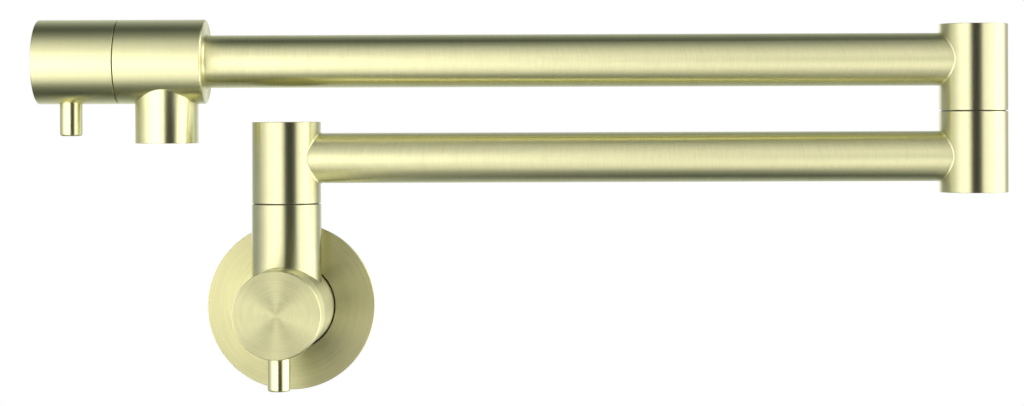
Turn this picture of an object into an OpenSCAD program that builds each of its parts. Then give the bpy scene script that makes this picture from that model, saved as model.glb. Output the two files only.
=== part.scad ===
// Wall mounted pot filler: a wall valve with a swivelling two-part arm and an outlet valve.
// Origin: centre of the wall flange's back face, on the wall plane.
// +X runs along the folded arms, +Z is up, and -Y points out of the wall.
// Rest pose: arms folded over each other, both valves shut with their levers down.

/* [Wall flange] */
// Diameter of the round flange that covers the hole in the wall
flange_d = 64.4; // [60:0.2:80]
// Thickness of the flange
flange_t = 8; // [7:0.5:11]
// Rounding of the flange's front edge
flange_edge_r = 0.8; // [0.4:0.1:1.5]
// Width of the rim that rests on the wall
flange_rim_w = 1.7; // [1.2:0.1:3]
// Thickness of the soft gasket behind the flange
gasket_t = 2; // [1.5:0.1:2.5]
// Width of the soft gasket behind the flange
gasket_w = 6; // [4:0.5:9]
// Gap that shows between the valve body and the flange's hole
flange_hole_gap = 0.65; // [0.4:0.05:0.9]
// Section of the rubber ring that centres the flange on the valve body
flange_ring_d = 1.8; // [1.5:0.1:2.2]

/* [Inlet] */
// Major diameter of the half inch inlet thread
inlet_thread_d = 20.96; // [20:0.02:22]
// Length of the inlet thread behind the wall plane
inlet_reach = 16; // [12:0.5:22]
// Diameter of the nipple's thread inside the valve body
nipple_neck_d = 19; // [18:0.1:19.5]
// Diameter of the nipple's waterway
nipple_bore_d = 11; // [9:0.5:11.5]
// Width across flats of the key socket in the nipple
nipple_key_w = 12; // [12:0.1:13]
// Depth of the key socket in the nipple
nipple_key_depth = 6; // [4:0.5:8]

/* [Valve body] */
// Wall of the valve body round the recess for the cartridge's hexagon
body_wall = 2.2; // [1.8:0.1:4]
// Length of the valve body in front of the riser
body_nose = 5.85; // [5:0.05:8]
// Distance from the wall plane to the valve body's rear face
body_back = 2; // [1:0.1:3]
// Gap between the flange's face and the riser
riser_gap = 0.85; // [0.5:0.05:2]
// Diameter of the riser
riser_d = 26.3; // [26:0.1:28]
// Height of the riser's top above the valve's axis
riser_h = 39.85; // [38:0.05:60]
// Diameter of the waterway in the riser
riser_bore_d = 13; // [10:0.5:14]
// Rounding of turned edges
edge_r = 0.5; // [0.2:0.1:0.8]

/* [Swivel joints] */
// Diameter of the swivel collars
collar_d = 26.1; // [26:0.1:28]
// Wall of a collar round its chamber
collar_wall = 2.4; // [2.2:0.1:2.8]
// Gap between the spigot's head and the chamber's wall
spigot_head_gap = 0.45; // [0.3:0.05:0.8]
// Width of the spigot's head past its stem
spigot_head_w = 1.7; // [1.4:0.1:2]
// Wall of the spigots round their waterway
spigot_wall = 3; // [2.8:0.1:3.4]
// Length of the spigot's thread below the seam
spigot_thread_l = 10; // [8:0.5:11]
// Thickness of the spigot's head
spigot_head_t = 2; // [1.5:0.1:2.5]
// Width of the key socket's flats past the spigot's waterway
spigot_key_step = 0.5; // [0.4:0.1:0.8]
// Depth of the key socket in the spigot's head
spigot_key_depth = 4; // [3:0.5:6]
// Height of the bearing lip inside a collar, above the seam
lip_h = 9.75; // [9.5:0.05:11]
// Section of the swivel's sealing rings
swivel_ring_d = 1.8; // [1.5:0.1:2]
// Height of the lower sealing ring above the seam
swivel_ring_z = 2; // [1.8:0.1:2.2]
// Distance between the two sealing rings
swivel_ring_pitch = 2.8; // [2.6:0.1:3]
// Wall of the bush's sleeve
bush_wall = 1.25; // [1:0.05:1.4]
// Length of the bush's sleeve
bush_l = 3; // [2.5:0.1:3.5]
// Gap between the bush's flange and the chamber's wall
bush_flange_gap = 0.2; // [0.1:0.05:0.3]
// Thickness of the bush's flange
bush_flange_t = 1; // [0.8:0.1:1.5]
// Width of the collar's rim round its cap
cap_rim_w = 1.8; // [1.75:0.05:2]
// Thickness of the cap
cap_t = 2.5; // [2:0.1:2.9]
// How far the seam washer stays inside the collar's edge
washer_inset = 0.9; // [0.6:0.1:1.5]

/* [Arms] */
// Outer diameter of the lower arm's tube
lower_tube_d = 19; // [18:0.1:19.4]
// Outer diameter of the upper arm's tube
upper_tube_d = 20; // [18:0.1:20.4]
// Wall of both tubes
tube_wall = 1.5; // [1:0.1:2]
// Distance from the shoulder's axis to the elbow's axis
lower_reach = 261.2; // [200:0.2:320]
// Distance from the shoulder's axis to the spout's axis when the arms are folded
spout_offset = 45.4; // [44:0.2:60]
// Distance from the lower tube's axis to the joint face of its collars
lower_joint_side = 17; // [16.8:0.05:19]
// Distance from the lower tube's axis to the plain end of its collars
lower_plain_side = 13.75; // [13.2:0.05:16]
// Distance from the upper tube's axis to the joint face of its collar
upper_joint_side = 19.35; // [19:0.05:22]
// Distance from the upper tube's axis to the plain end of its collar
upper_plain_side = 13.4; // [13.2:0.05:16]
// Depth to which the tubes are let into the collars, from the collar's side
cope_depth = 1.75; // [1.2:0.05:1.9]
// Thickness of the elbow's closed floor
elbow_floor_t = 3; // [2:0.5:3.5]

/* [Outlet body] */
// Wall of the outlet body round the recess for the cartridge's hexagon
outlet_wall = 1.8; // [1.6:0.1:4]
// Length of the outlet body on the knob's side of the spout's axis
outlet_nose = 17.75; // [17.5:0.05:20]
// Length of the outlet body on the tube's side of the spout's axis
outlet_root = 15.1; // [14.6:0.05:18]
// Wall of the spout round the aerator
spout_wall = 1.4; // [1.2:0.05:3]
// Drop from the outlet's axis to the spout's mouth
spout_drop = 30.9; // [30:0.1:40]
// Diameter of the waterway in the spout
spout_bore_d = 14; // [10:0.5:15]

/* [Aerator] */
// Outer diameter of the aerator's threaded housing
aerator_d = 21; // [20.6:0.1:21.2]
// Height of the aerator's housing
aerator_h = 8; // [7:0.1:9]
// Depth of the aerator inside the spout's mouth
aerator_recess = 0.5; // [0.2:0.1:1]
// Wall of the aerator's housing
aerator_wall = 1.2; // [1:0.1:1.5]
// Width of the lip that holds the insert
aerator_lip_w = 1; // [0.6:0.1:1.2]
// Thickness of the lip that holds the insert
aerator_lip_t = 0.8; // [0.6:0.1:1]
// Width of the key notches in the aerator's rim
aerator_notch_w = 2; // [1.5:0.1:2.5]
// Depth of the key notches in the aerator's rim
aerator_notch_depth = 0.7; // [0.4:0.05:0.75]
// Distance from the housing's top to the flow straightener's top
insert_drop = 1.2; // [1:0.1:2]
// Width of the flow straightener's rim outside its holes
insert_edge_w = 0.45; // [0.4:0.05:1]
// Diameter of the holes as a share of the distance between them
insert_hole_share = 0.77; // [0.5:0.01:0.8]
// Rings of holes in the flow straightener
insert_rows = 3; // [2:1:4]
// Thickness of the aerator's sealing washer
aerator_washer_t = 1.5; // [1.2:0.1:1.8]
// Width of the aerator's sealing washer
aerator_washer_w = 2.8; // [2:0.1:3.2]

/* [Valve cartridges] */
// Depth of the valve seat behind the body's front face
seat_depth = 25; // [25:0.1:26]
// Thickness of the wall that holds the valve seat
seat_wall = 3; // [2:0.1:3]
// Width of the valve seat's ledge under the discs
seat_ledge_w = 1.5; // [1.4:0.1:2.5]
// Diameter of the cartridge's thread
cartridge_thread_d = 20.9; // [20.4:0.1:21.2]
// Length of the cartridge's thread behind its sealing ring
cartridge_thread_l = 6; // [5:0.1:6.5]
// Wall of the cartridge's shell
shell_wall = 1.45; // [1.3:0.05:1.8]
// Width of the water chamber round the shell
water_gap = 1.2; // [0.8:0.1:1.5]
// Gap between the shell's end and the valve seat
shell_end_gap = 0.4; // [0.3:0.05:0.6]
// Width across flats of the cartridge's hexagon
hexagon_w = 23; // [22:0.1:24]
// Height of the cartridge's hexagon
hexagon_h = 4.4; // [4:0.1:4.6]
// Depth to which the hexagon sinks into the body
hexagon_sink = 3; // [2.8:0.1:3.2]
// Gap round the hexagon's corners
hexagon_gap = 0.92; // [0.8:0.02:1.2]
// Section of the cartridge's sealing ring
cartridge_ring_d = 1.5; // [1.2:0.1:1.6]
// Width of the windows in the shell
window_w = 8; // [5:0.5:9]
// Height of the windows in the shell
window_h = 4; // [2:0.1:4]
// Thickness of the rubber seat seal
seal_t = 1.8; // [1.6:0.1:2]
// Width of the rubber seat seal
seal_w = 1.2; // [1:0.1:1.4]
// Diameter of the ceramic discs
disc_d = 14; // [13.8:0.1:14.2]
// Thickness of the fixed ceramic disc
fixed_disc_t = 3; // [2.8:0.1:3.2]
// Thickness of the moving ceramic disc
moving_disc_t = 3.5; // [3.2:0.1:3.6]
// Width of the discs' rims outside their ports
port_rim_w = 1.6; // [1.6:0.1:2.5]
// Inner diameter of the discs' ports
port_core_d = 3.2; // [2:0.1:5]
// Angle of one port
port_angle = 80; // [40:1:84]

/* [Spindles] */
// Diameter of the spindle in the cartridge
spindle_d = 8; // [7.6:0.1:8.4]
// Step from the spindle to its thinner end in the knob
stem_step = 0.1; // [0.1:0.05:0.4]
// Distance from the discs' rim to the rim of the spindle's foot
foot_inset = 0.3; // [0.3:0.05:0.5]
// Thickness of the spindle's foot
foot_t = 1.8; // [1.5:0.1:2]
// Height of the spindle's legs above the moving disc
leg_h = 2.25; // [2:0.05:2.5]
// Width of the spindle's legs
leg_w = 3; // [2:0.1:3.4]
// Depth of the notches that the legs sit in
leg_grip = 1.9; // [1.4:0.1:2.2]
// Thickness of the legs across the disc's rim
leg_t = 1.05; // [0.8:0.05:1.1]
// Section of the spindle's sealing ring
spindle_ring_d = 1.4; // [1.2:0.1:1.5]
// Distance from the spindle's foot to its sealing ring
spindle_ring_rise = 4.6; // [3:0.1:6]
// Thickness of the stop ring
stop_ring_t = 0.8; // [0.6:0.05:0.9]
// Outer diameter of the stop ring
stop_ring_d = 10.8; // [10.4:0.1:11]
// Diameter of the spindle's groove that holds the stop ring
stop_groove_d = 6.4; // [6:0.1:6.6]
// Outer diameter of the stop ring's tooth
stop_tooth_d = 14.6; // [14:0.1:14.8]
// Angle that the stop ring's tooth takes up
stop_tooth_angle = 30; // [20:1:40]
// Quarter turn of both valves
valve_turn = 90; // [85:1:95]
// Play of the tooth at each end of its travel
stop_play = 1; // [1:0.5:2]
// Depth of the flat on the spindle under the grub screw
flat_depth = 0.5; // [0.3:0.05:0.7]
// Length of the flat on the spindle
flat_l = 6; // [5.4:0.1:7]
// Length of the spindle past the lever's axis
stem_past_lever = 4.5; // [3.5:0.1:5.5]

/* [Handles] */
// Wall of the wall valve's knob round its cavity
wall_knob_wall = 2.35; // [2:0.05:4]
// Length of the wall valve's knob
wall_knob_l = 13.6; // [13:0.1:18]
// Free height above the stop ring in the wall knob
wall_cavity_gap = 0.3; // [0.2:0.05:0.6]
// Solid metal between the wall knob's cavity and its lever's shank
wall_shank_land = 0.45; // [0.4:0.05:1]
// Wall of the outlet valve's knob round its cavity
outlet_knob_wall = 1.8; // [1.8:0.1:4]
// Length of the outlet valve's knob
outlet_knob_l = 30.45; // [28:0.05:36]
// Free height above the stop ring in the outlet knob
outlet_cavity_gap = 10.25; // [8:0.05:12]
// Solid metal between the outlet knob's cavity and its lever's shank
outlet_shank_land = 3.45; // [2:0.05:5]
// Rounding of the knobs' outer edges
knob_edge_r = 0.6; // [0.3:0.1:1.2]
// Diameter of the pin levers
lever_d = 8.5; // [8:0.1:9]
// Length of the levers outside their knobs
lever_reach = 12.1; // [10:0.1:30]
// Rounding of the levers' ends
lever_end_r = 1; // [0.4:0.1:2]
// Depth of the levers' seats below the knob's surface
lever_seat_depth = 1.55; // [1.5:0.05:1.7]
// Diameter of the levers' threaded shanks
shank_d = 5; // [4.6:0.1:5]
// Length of the levers' threaded shanks
shank_l = 6; // [5:0.1:6.2]
// Length of the grub screws under the levers
grub_l = 5; // [4:0.1:5]
// Width across flats of the grub screws' sockets
grub_key_w = 2.5; // [2:0.1:2.6]
// Depth of the grub screws' sockets
grub_key_depth = 2; // [1.5:0.1:2.5]

/* [Clearances] */
// Seam between a turning piece and its neighbour
seam_gap = 0.4; // [0.3:0.05:0.6]
// Clearance of running and assembled fits, on the radius
fit_gap = 0.05; // [0.03:0.01:0.08]
// Play between faces that slide on each other
face_play = 0.05; // [0.03:0.01:0.08]
// Gap at the blind ends of bores
end_gap = 0.3; // [0.2:0.05:0.5]

/* [Hidden] */

$fn = 96;
// Overrun of every cut past the face it opens
over = 1;
// Steps in a rounded edge
round_steps = 6;
// Number of sides of a key socket or a hexagon
hex_sides = 6;

function half(width) = width / 2;

// Sizes that follow the cartridge
recess_d = hexagon_w / cos(30) + 2 * hexagon_gap;
body_d = recess_d + 2 * body_wall;
outlet_d = recess_d + 2 * outlet_wall;
wall_knob_d = recess_d + 2 * wall_knob_wall;
outlet_knob_d = recess_d + 2 * outlet_knob_wall;
shell_d = disc_d + 2 * fit_gap + 2 * shell_wall;
chamber_bore_d = shell_d + 2 * water_gap;
seat_hole_d = disc_d - 2 * seat_ledge_w;
port_d = disc_d - 2 * port_rim_w;
foot_d = disc_d - 2 * foot_inset;
stem_d = spindle_d - 2 * stem_step;

// Sizes that follow the collars
chamber_d = collar_d - 2 * collar_wall;
spigot_head_d = chamber_d - 2 * spigot_head_gap;
spigot_d = spigot_head_d - 2 * spigot_head_w;
spigot_bore_d = spigot_d - 2 * spigot_wall;
spigot_key_w = spigot_bore_d + 2 * spigot_key_step;
bush_d = spigot_d + 2 * fit_gap + 2 * bush_wall;
bush_flange_d = chamber_d - 2 * bush_flange_gap;
cap_d = collar_d - 2 * cap_rim_w;

// Size that follows the aerator
spout_d = aerator_d + 2 * fit_gap + 2 * spout_wall;

// Places along the wall valve, measured out of the wall
post_out = flange_t + riser_gap + riser_d / 2;
body_front = post_out + riser_d / 2 + body_nose;
body_l = body_front - body_back;

// Heights of the arms
shoulder_seam_z = riser_h + seam_gap;
lower_arm_z = shoulder_seam_z + lower_joint_side;
elbow_seam_z = lower_arm_z + lower_joint_side + seam_gap;
upper_arm_z = elbow_seam_z + upper_joint_side;
lower_collar_h = lower_joint_side + lower_plain_side;
upper_collar_h = upper_joint_side + upper_plain_side;

// Places along the outlet
spout_x = -spout_offset;
outlet_face_x = spout_x - outlet_nose;
outlet_l = outlet_nose + outlet_root;
spout_mouth_z = upper_arm_z - spout_drop;

// Radii of the swivel joints
spigot_r = spigot_d / 2;
collar_r = collar_d / 2;
cope_r = collar_r - cope_depth;
lip_bore_r = spigot_r + fit_gap;
head_z = lip_h + bush_flange_t + face_play;

// Places along a cartridge, from the body's front face; outwards is positive
seat_z = -seat_depth;
shell_bottom_z = seat_z + shell_end_gap;
fixed_disc_z = seat_z + seal_t;
moving_disc_z = fixed_disc_z + fixed_disc_t + face_play;
legs_z = moving_disc_z + moving_disc_t - leg_grip;
foot_z = moving_disc_z + moving_disc_t + leg_h;
foot_top_z = foot_z + foot_t;
shoulder_z = foot_top_z + 2 * face_play;
hexagon_z = -hexagon_sink;
hexagon_top_z = hexagon_z + hexagon_h;
stop_ring_z = hexagon_top_z + 2 * face_play;
stop_ring_top_z = stop_ring_z + stop_ring_t;
spindle_ring_z = foot_top_z + spindle_ring_rise;
thread_end_z = hexagon_z - cartridge_ring_d - cartridge_thread_l;
cavity_r = disc_d / 2 + fit_gap;

// Levers' axes along the valves, from the body's front face
shank_hole_r = shank_d / 2 + fit_gap;
wall_cavity_z = stop_ring_top_z + wall_cavity_gap;
outlet_cavity_z = stop_ring_top_z + outlet_cavity_gap;
wall_lever_z = wall_cavity_z + wall_shank_land + shank_hole_r;
outlet_lever_z = outlet_cavity_z + outlet_shank_land + shank_hole_r;

// Points of a quarter circle round a centre, from one angle to another
function arc_points(centre, radius, from, to) =
    [for (i = [0 : round_steps])
        let (a = from + (to - from) * i / round_steps)
        centre + radius * [cos(a), sin(a)]];

// Outline of a solid turned bar from z0 to z1, with its two outer edges rounded
function bar_outline(radius, z0, z1, round0, round1) = concat(
    [[0, z0]],
    arc_points([radius - round0, z0 + round0], round0, -90, 0),
    arc_points([radius - round1, z1 - round1], round1, 0, 90),
    [[0, z1]]
);

// Solid turned bar along z
module bar(radius, z0, z1, round0, round1) {
    rotate_extrude() polygon(bar_outline(radius, z0, z1, round0, round1));
}

// Plain cylinder from z0 to z1
module rod(radius, z0, z1) {
    translate([0, 0, z0]) cylinder(r = radius, h = z1 - z0);
}

// Plain ring from z0 to z1
module ring(outer_r, inner_r, z0, z1) {
    rotate_extrude() polygon([[inner_r, z0], [outer_r, z0], [outer_r, z1], [inner_r, z1]]);
}

// Rubber ring of round section, its section's centre at centre_r and z
module round_ring(centre_r, section_d, z) {
    rotate_extrude() translate([centre_r, z]) circle(r = half(section_d));
}

// Prism with hexagon section from z0 to z1
module hexagon(width, z0, z1) {
    translate([0, 0, z0]) cylinder(r = half(width) / cos(30), h = z1 - z0, $fn = hex_sides);
}

// Wedge from z0 to z1 between two angles less than half a turn apart
module wedge(radius, from, to, z0, z1) {
    middle = (from + to) / 2;
    tip_r = radius / cos((to - from) / 4);
    translate([0, 0, z0]) linear_extrude(height = z1 - z0)
        polygon([
            [0, 0],
            tip_r * [cos(from), sin(from)],
            tip_r * [cos(middle), sin(middle)],
            tip_r * [cos(to), sin(to)]
        ]);
}

// The wall valve's own frame: z comes out of the wall, -y is down
module at_wall_valve() {
    translate([0, -body_front, 0]) rotate([90, 0, 0]) children();
}

// The outlet valve's own frame: z runs along the outlet to its knob, -y is down
module at_outlet_valve() {
    translate([outlet_face_x, -post_out, upper_arm_z]) rotate([0, -90, 0]) rotate([0, 0, -90])
        children();
}

// The swivels' own frames: z is the joint's axis, 0 is the seam
module at_shoulder() {
    translate([0, -post_out, shoulder_seam_z]) children();
}

module at_elbow() {
    translate([lower_reach, -post_out, elbow_seam_z]) children();
}

// The spout's own frame: z is its axis, 0 is its mouth
module at_spout() {
    translate([spout_x, -post_out, spout_mouth_z]) children();
}

// Cylinder of given radius along an arm, between two places on X
module along_arm(radius, height, x0, x1) {
    translate([x0, -post_out, height]) rotate([0, 90, 0]) cylinder(r = radius, h = x1 - x0);
}

// Bores of a valve body: recess, thread, water chamber and seat
module valve_bores() {
    rod(half(recess_d), hexagon_z, over);
    rod(half(cartridge_thread_d) + fit_gap, thread_end_z, over);
    rod(half(chamber_bore_d), seat_z, over);
    rod(half(seat_hole_d), seat_z - seat_wall - over, over);
}

// Shell of a ceramic disc cartridge, with its thread, hexagon and stop arc
module cartridge_shell() {
    thread_r = half(cartridge_thread_d);
    neck_r = thread_r - cartridge_ring_d - fit_gap;
    neck_z = hexagon_z - cartridge_ring_d;
    window_z = foot_z - half(window_h);
    window_from = -90 - half(stop_tooth_angle) - stop_play;
    window_to = window_from + valve_turn + stop_tooth_angle + 2 * stop_play;
    stop_arc_r = half(stop_tooth_d) + 2 * fit_gap;
    difference() {
        union() {
            rotate_extrude() polygon([
                [0, shell_bottom_z],
                [half(shell_d), shell_bottom_z],
                [half(shell_d), thread_end_z],
                [thread_r, thread_end_z],
                [thread_r, neck_z],
                [neck_r, neck_z],
                [neck_r, hexagon_z + face_play],
                [0, hexagon_z + face_play]
            ]);
            hexagon(hexagon_w, hexagon_z, hexagon_top_z);
            difference() {
                rod(stop_arc_r, hexagon_z, stop_ring_top_z);
                rod(half(stop_ring_d) + 2 * fit_gap, hexagon_top_z, stop_ring_top_z + over);
                wedge(stop_tooth_d, window_from, window_to, hexagon_top_z, stop_ring_top_z + over);
            }
        }
        rod(cavity_r, shell_bottom_z - over, shoulder_z);
        rod(half(spindle_d) + fit_gap, shell_bottom_z, stop_ring_top_z + over);
        translate([-shell_d, -half(window_w), window_z]) cube([2 * shell_d, window_w, window_h]);
    }
}

// Rubber ring under the cartridge's hexagon
module cartridge_ring() {
    section_r = half(cartridge_ring_d);
    round_ring(half(cartridge_thread_d) - section_r, cartridge_ring_d - face_play,
        hexagon_z - section_r);
}

// Rubber seal between the valve seat and the fixed disc
module seat_seal() {
    ring(half(disc_d), half(disc_d) - seal_w, seat_z, fixed_disc_z);
}

// Two ports facing each other, centred on the y axis
module ports(z0, z1) {
    for (turn = [90, 270])
        difference() {
            intersection() {
                rod(half(port_d), z0, z1);
                wedge(port_d, turn - half(port_angle), turn + half(port_angle), z0, z1);
            }
            rod(half(port_core_d), z0 - over, z1 + over);
        }
}

// Ceramic disc that stays with the shell
module fixed_disc() {
    difference() {
        rod(half(disc_d), fixed_disc_z, fixed_disc_z + fixed_disc_t);
        ports(fixed_disc_z - over, fixed_disc_z + fixed_disc_t + over);
    }
}

// Ceramic disc that turns with the spindle; at rest its ports lie across the fixed ones
module moving_disc() {
    top_z = moving_disc_z + moving_disc_t;
    notch_r = half(foot_d) - leg_t - fit_gap;
    difference() {
        rod(half(disc_d) - fit_gap, moving_disc_z, top_z);
        rotate([0, 0, 90]) ports(moving_disc_z - over, top_z + over);
        for (side = [0, 180])
            rotate([0, 0, side])
                translate([-half(leg_w) - fit_gap, notch_r, legs_z - fit_gap])
                    cube([leg_w + 2 * fit_gap, disc_d, moving_disc_t]);
    }
}

// Spindle with its foot, two legs, grooves and a flat for the grub screw
module spindle(lever_z) {
    spindle_r = half(spindle_d);
    stem_r = half(stem_d);
    ring_half = half(spindle_ring_d) + fit_gap;
    groove_r = spindle_r - spindle_ring_d - fit_gap;
    stop_r = half(stop_groove_d);
    stop_top = stop_ring_top_z + face_play;
    difference() {
        union() {
            rotate_extrude() polygon([
                [0, foot_z],
                [half(foot_d), foot_z],
                [half(foot_d), foot_top_z],
                [spindle_r, foot_top_z],
                [spindle_r, spindle_ring_z - ring_half],
                [groove_r, spindle_ring_z - ring_half],
                [groove_r, spindle_ring_z + ring_half],
                [spindle_r, spindle_ring_z + ring_half],
                [spindle_r, stop_ring_z - face_play],
                [stop_r, stop_ring_z - face_play],
                [stop_r, stop_top],
                [stem_r, stop_top],
                [stem_r, lever_z + stem_past_lever],
                [0, lever_z + stem_past_lever]
            ]);
            intersection() {
                rod(half(foot_d), legs_z, foot_top_z);
                for (side = [0, 180])
                    rotate([0, 0, side])
                        translate([-half(leg_w), half(foot_d) - leg_t, legs_z])
                            cube([leg_w, foot_d, foot_top_z - legs_z]);
            }
        }
        translate([-stem_d, -stem_r - stem_d + flat_depth, lever_z - half(flat_l)])
            cube([2 * stem_d, stem_d, flat_l]);
    }
}

// Rubber ring on the spindle
module spindle_ring() {
    round_ring(half(spindle_d) - half(spindle_ring_d), spindle_ring_d, spindle_ring_z);
}

// Ring with a tooth that meets the ends of the shell's stop arc
module stop_ring() {
    tooth_half = half(stop_tooth_angle);
    difference() {
        union() {
            rod(half(stop_ring_d), stop_ring_z, stop_ring_top_z);
            intersection() {
                rod(half(stop_tooth_d), stop_ring_z, stop_ring_top_z);
                wedge(stop_tooth_d, -90 - tooth_half, -90 + tooth_half, stop_ring_z,
                    stop_ring_top_z);
            }
        }
        rod(half(stop_groove_d) + fit_gap, stop_ring_z - over, stop_ring_top_z + over);
    }
}

// Knob with a cavity over the hexagon, a bore for the spindle and a seat for the lever
module knob(diameter, length, lever_z, cavity_top_z) {
    knob_r = half(diameter);
    front_z = seam_gap + length;
    difference() {
        bar(knob_r, seam_gap, front_z, edge_r, knob_edge_r);
        rod(half(recess_d), seam_gap - over, cavity_top_z);
        rod(half(stem_d) + fit_gap, cavity_top_z - over, lever_z + stem_past_lever + end_gap);
        translate([0, 0, lever_z]) rotate([90, 0, 0]) {
            rod(shank_hole_r, 0, knob_r);
            rod(half(lever_d) + fit_gap, knob_r - lever_seat_depth, knob_r + over);
        }
    }
}

// Pin lever with its threaded shank, pointing down from its knob
module lever(diameter, lever_z) {
    seat_r = half(diameter) - lever_seat_depth;
    end_r = half(diameter) + lever_reach;
    translate([0, 0, lever_z]) rotate([90, 0, 0])
        rotate_extrude() polygon(concat(
            [[0, seat_r - shank_l], [half(shank_d), seat_r - shank_l], [half(shank_d), seat_r],
                [half(lever_d), seat_r]],
            arc_points([half(lever_d) - lever_end_r, end_r - lever_end_r], lever_end_r, 0, 90),
            [[0, end_r]]
        ));
}

// Grub screw that clamps the knob on the spindle's flat
module grub_screw(lever_z) {
    tip_y = half(stem_d) - flat_depth;
    translate([0, 0, lever_z]) rotate([90, 0, 0])
        difference() {
            rod(half(shank_d), tip_y, tip_y + grub_l);
            hexagon(grub_key_w, tip_y + grub_l - grub_key_depth, tip_y + grub_l + over);
        }
}

// Outline of a spigot above its seam: rings' grooves, head
function ring_groove(z, section_d) =
    let (half_w = section_d / 2 + fit_gap, root_r = spigot_r - section_d - fit_gap)
    [[spigot_r, z - half_w], [root_r, z - half_w], [root_r, z + half_w], [spigot_r, z + half_w]];

// Fixed spigot of a swivel, screwed in below the seam and headed above the collar's lip
module spigot() {
    head_top_z = head_z + spigot_head_t;
    difference() {
        rotate_extrude() polygon(concat(
            [[half(spigot_bore_d), -seam_gap - spigot_thread_l],
                [spigot_r, -seam_gap - spigot_thread_l]],
            ring_groove(swivel_ring_z, swivel_ring_d),
            ring_groove(swivel_ring_z + swivel_ring_pitch, swivel_ring_d),
            [[spigot_r, head_z], [half(spigot_head_d), head_z],
                [half(spigot_head_d), head_top_z], [half(spigot_bore_d), head_top_z]]
        ));
        hexagon(spigot_key_w, head_top_z - spigot_key_depth, head_top_z + over);
    }
}

// Two rubber rings in the spigot's grooves
module spigot_rings() {
    for (z = [swivel_ring_z, swivel_ring_z + swivel_ring_pitch])
        round_ring(spigot_r - half(swivel_ring_d), swivel_ring_d, z);
}

// Thin washer in the seam, lying on the lower piece
module seam_washer() {
    ring(collar_r - washer_inset, spigot_r + fit_gap, -seam_gap, -face_play);
}

// Flanged plastic bush that the collar turns on
module swivel_bush() {
    inner_r = lip_bore_r;
    rotate_extrude() polygon([
        [inner_r, lip_h - bush_l],
        [half(bush_d), lip_h - bush_l],
        [half(bush_d), lip_h],
        [half(bush_flange_d), lip_h],
        [half(bush_flange_d), lip_h + bush_flange_t],
        [inner_r, lip_h + bush_flange_t]
    ]);
}

// Turning collar, open above for the spigot's head and closed there by a cap
module swivel_collar(height) {
    seat_r = half(bush_d) + fit_gap;
    cap_seat_r = half(cap_d) + fit_gap;
    bush_seat_z = lip_h - bush_l - fit_gap;
    rotate_extrude() polygon(concat(
        [[lip_bore_r, 0]],
        arc_points([collar_r - edge_r, edge_r], edge_r, -90, 0),
        arc_points([collar_r - edge_r, height - edge_r], edge_r, 0, 90),
        [[cap_seat_r, height], [cap_seat_r, height - cap_t], [half(chamber_d), height - cap_t],
            [half(chamber_d), lip_h], [seat_r, lip_h], [seat_r, bush_seat_z],
            [lip_bore_r, bush_seat_z]]
    ));
}

// Cap that closes a collar
module collar_cap(height) {
    rod(half(cap_d), height - cap_t, height);
}

// Hole for an arm's tube in a collar: the tube's size outside the cope, its bore inside
module tube_socket(tube_d, height, centre_x, from_x, to_x) {
    difference() {
        along_arm(half(tube_d) + fit_gap, height, from_x, to_x);
        translate([centre_x, -post_out, height - tube_d]) cylinder(r = cope_r, h = 2 * tube_d);
    }
    along_arm(half(tube_d) - tube_wall, height, from_x, to_x);
}

// Space that the coped end of a tube leaves free
module cope(centre_x, height, tube_d) {
    translate([centre_x, -post_out, height - tube_d])
        cylinder(r = cope_r + fit_gap, h = 2 * tube_d);
}

// Round flange against the wall, with a pocket for its gasket and a groove for its ring
module wall_flange() {
    hole_r = half(body_d) + flange_hole_gap;
    groove_r = half(body_d) + flange_ring_d + fit_gap;
    groove_from = flange_t - flange_edge_r - flange_ring_d;
    pocket_r = half(flange_d) - flange_rim_w;
    rim_r = half(flange_d);
    pocket_inner_r = groove_r + flange_rim_w;
    color("goldenrod") rotate([90, 0, 0]) rotate_extrude() polygon(concat(
        [[pocket_r, 0], [rim_r, 0]],
        arc_points([rim_r - flange_edge_r, flange_t - flange_edge_r], flange_edge_r, 0, 90),
        [[hole_r, flange_t], [hole_r, flange_t - flange_edge_r],
            [groove_r, flange_t - flange_edge_r], [groove_r, groove_from], [hole_r, groove_from],
            [hole_r, body_back], [pocket_inner_r, body_back], [pocket_inner_r, gasket_t],
            [pocket_r, gasket_t]]
    ));
}

// Soft ring that seals the flange to the wall
module flange_gasket() {
    outer_r = half(flange_d) - flange_rim_w - fit_gap;
    color("black") rotate([90, 0, 0]) ring(outer_r, outer_r - gasket_w, 0, gasket_t);
}

// Black rubber ring in the gap round the valve body
module flange_ring() {
    ring_z = flange_t - flange_edge_r - half(flange_ring_d);
    color("black") rotate([90, 0, 0])
        round_ring(half(body_d) + half(flange_ring_d), flange_ring_d - fit_gap, ring_z);
}

// Threaded nipple between the pipe in the wall and the valve body
module inlet_nipple() {
    neck_end = body_front - seat_depth - seat_wall - end_gap;
    color("gold") rotate([90, 0, 0]) difference() {
        rotate_extrude() polygon([
            [half(nipple_bore_d), -inlet_reach],
            [half(inlet_thread_d), -inlet_reach],
            [half(inlet_thread_d), body_back],
            [half(nipple_neck_d), body_back],
            [half(nipple_neck_d), neck_end],
            [half(nipple_bore_d), neck_end]
        ]);
        hexagon(nipple_key_w, neck_end - nipple_key_depth, neck_end + over);
    }
}

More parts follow.
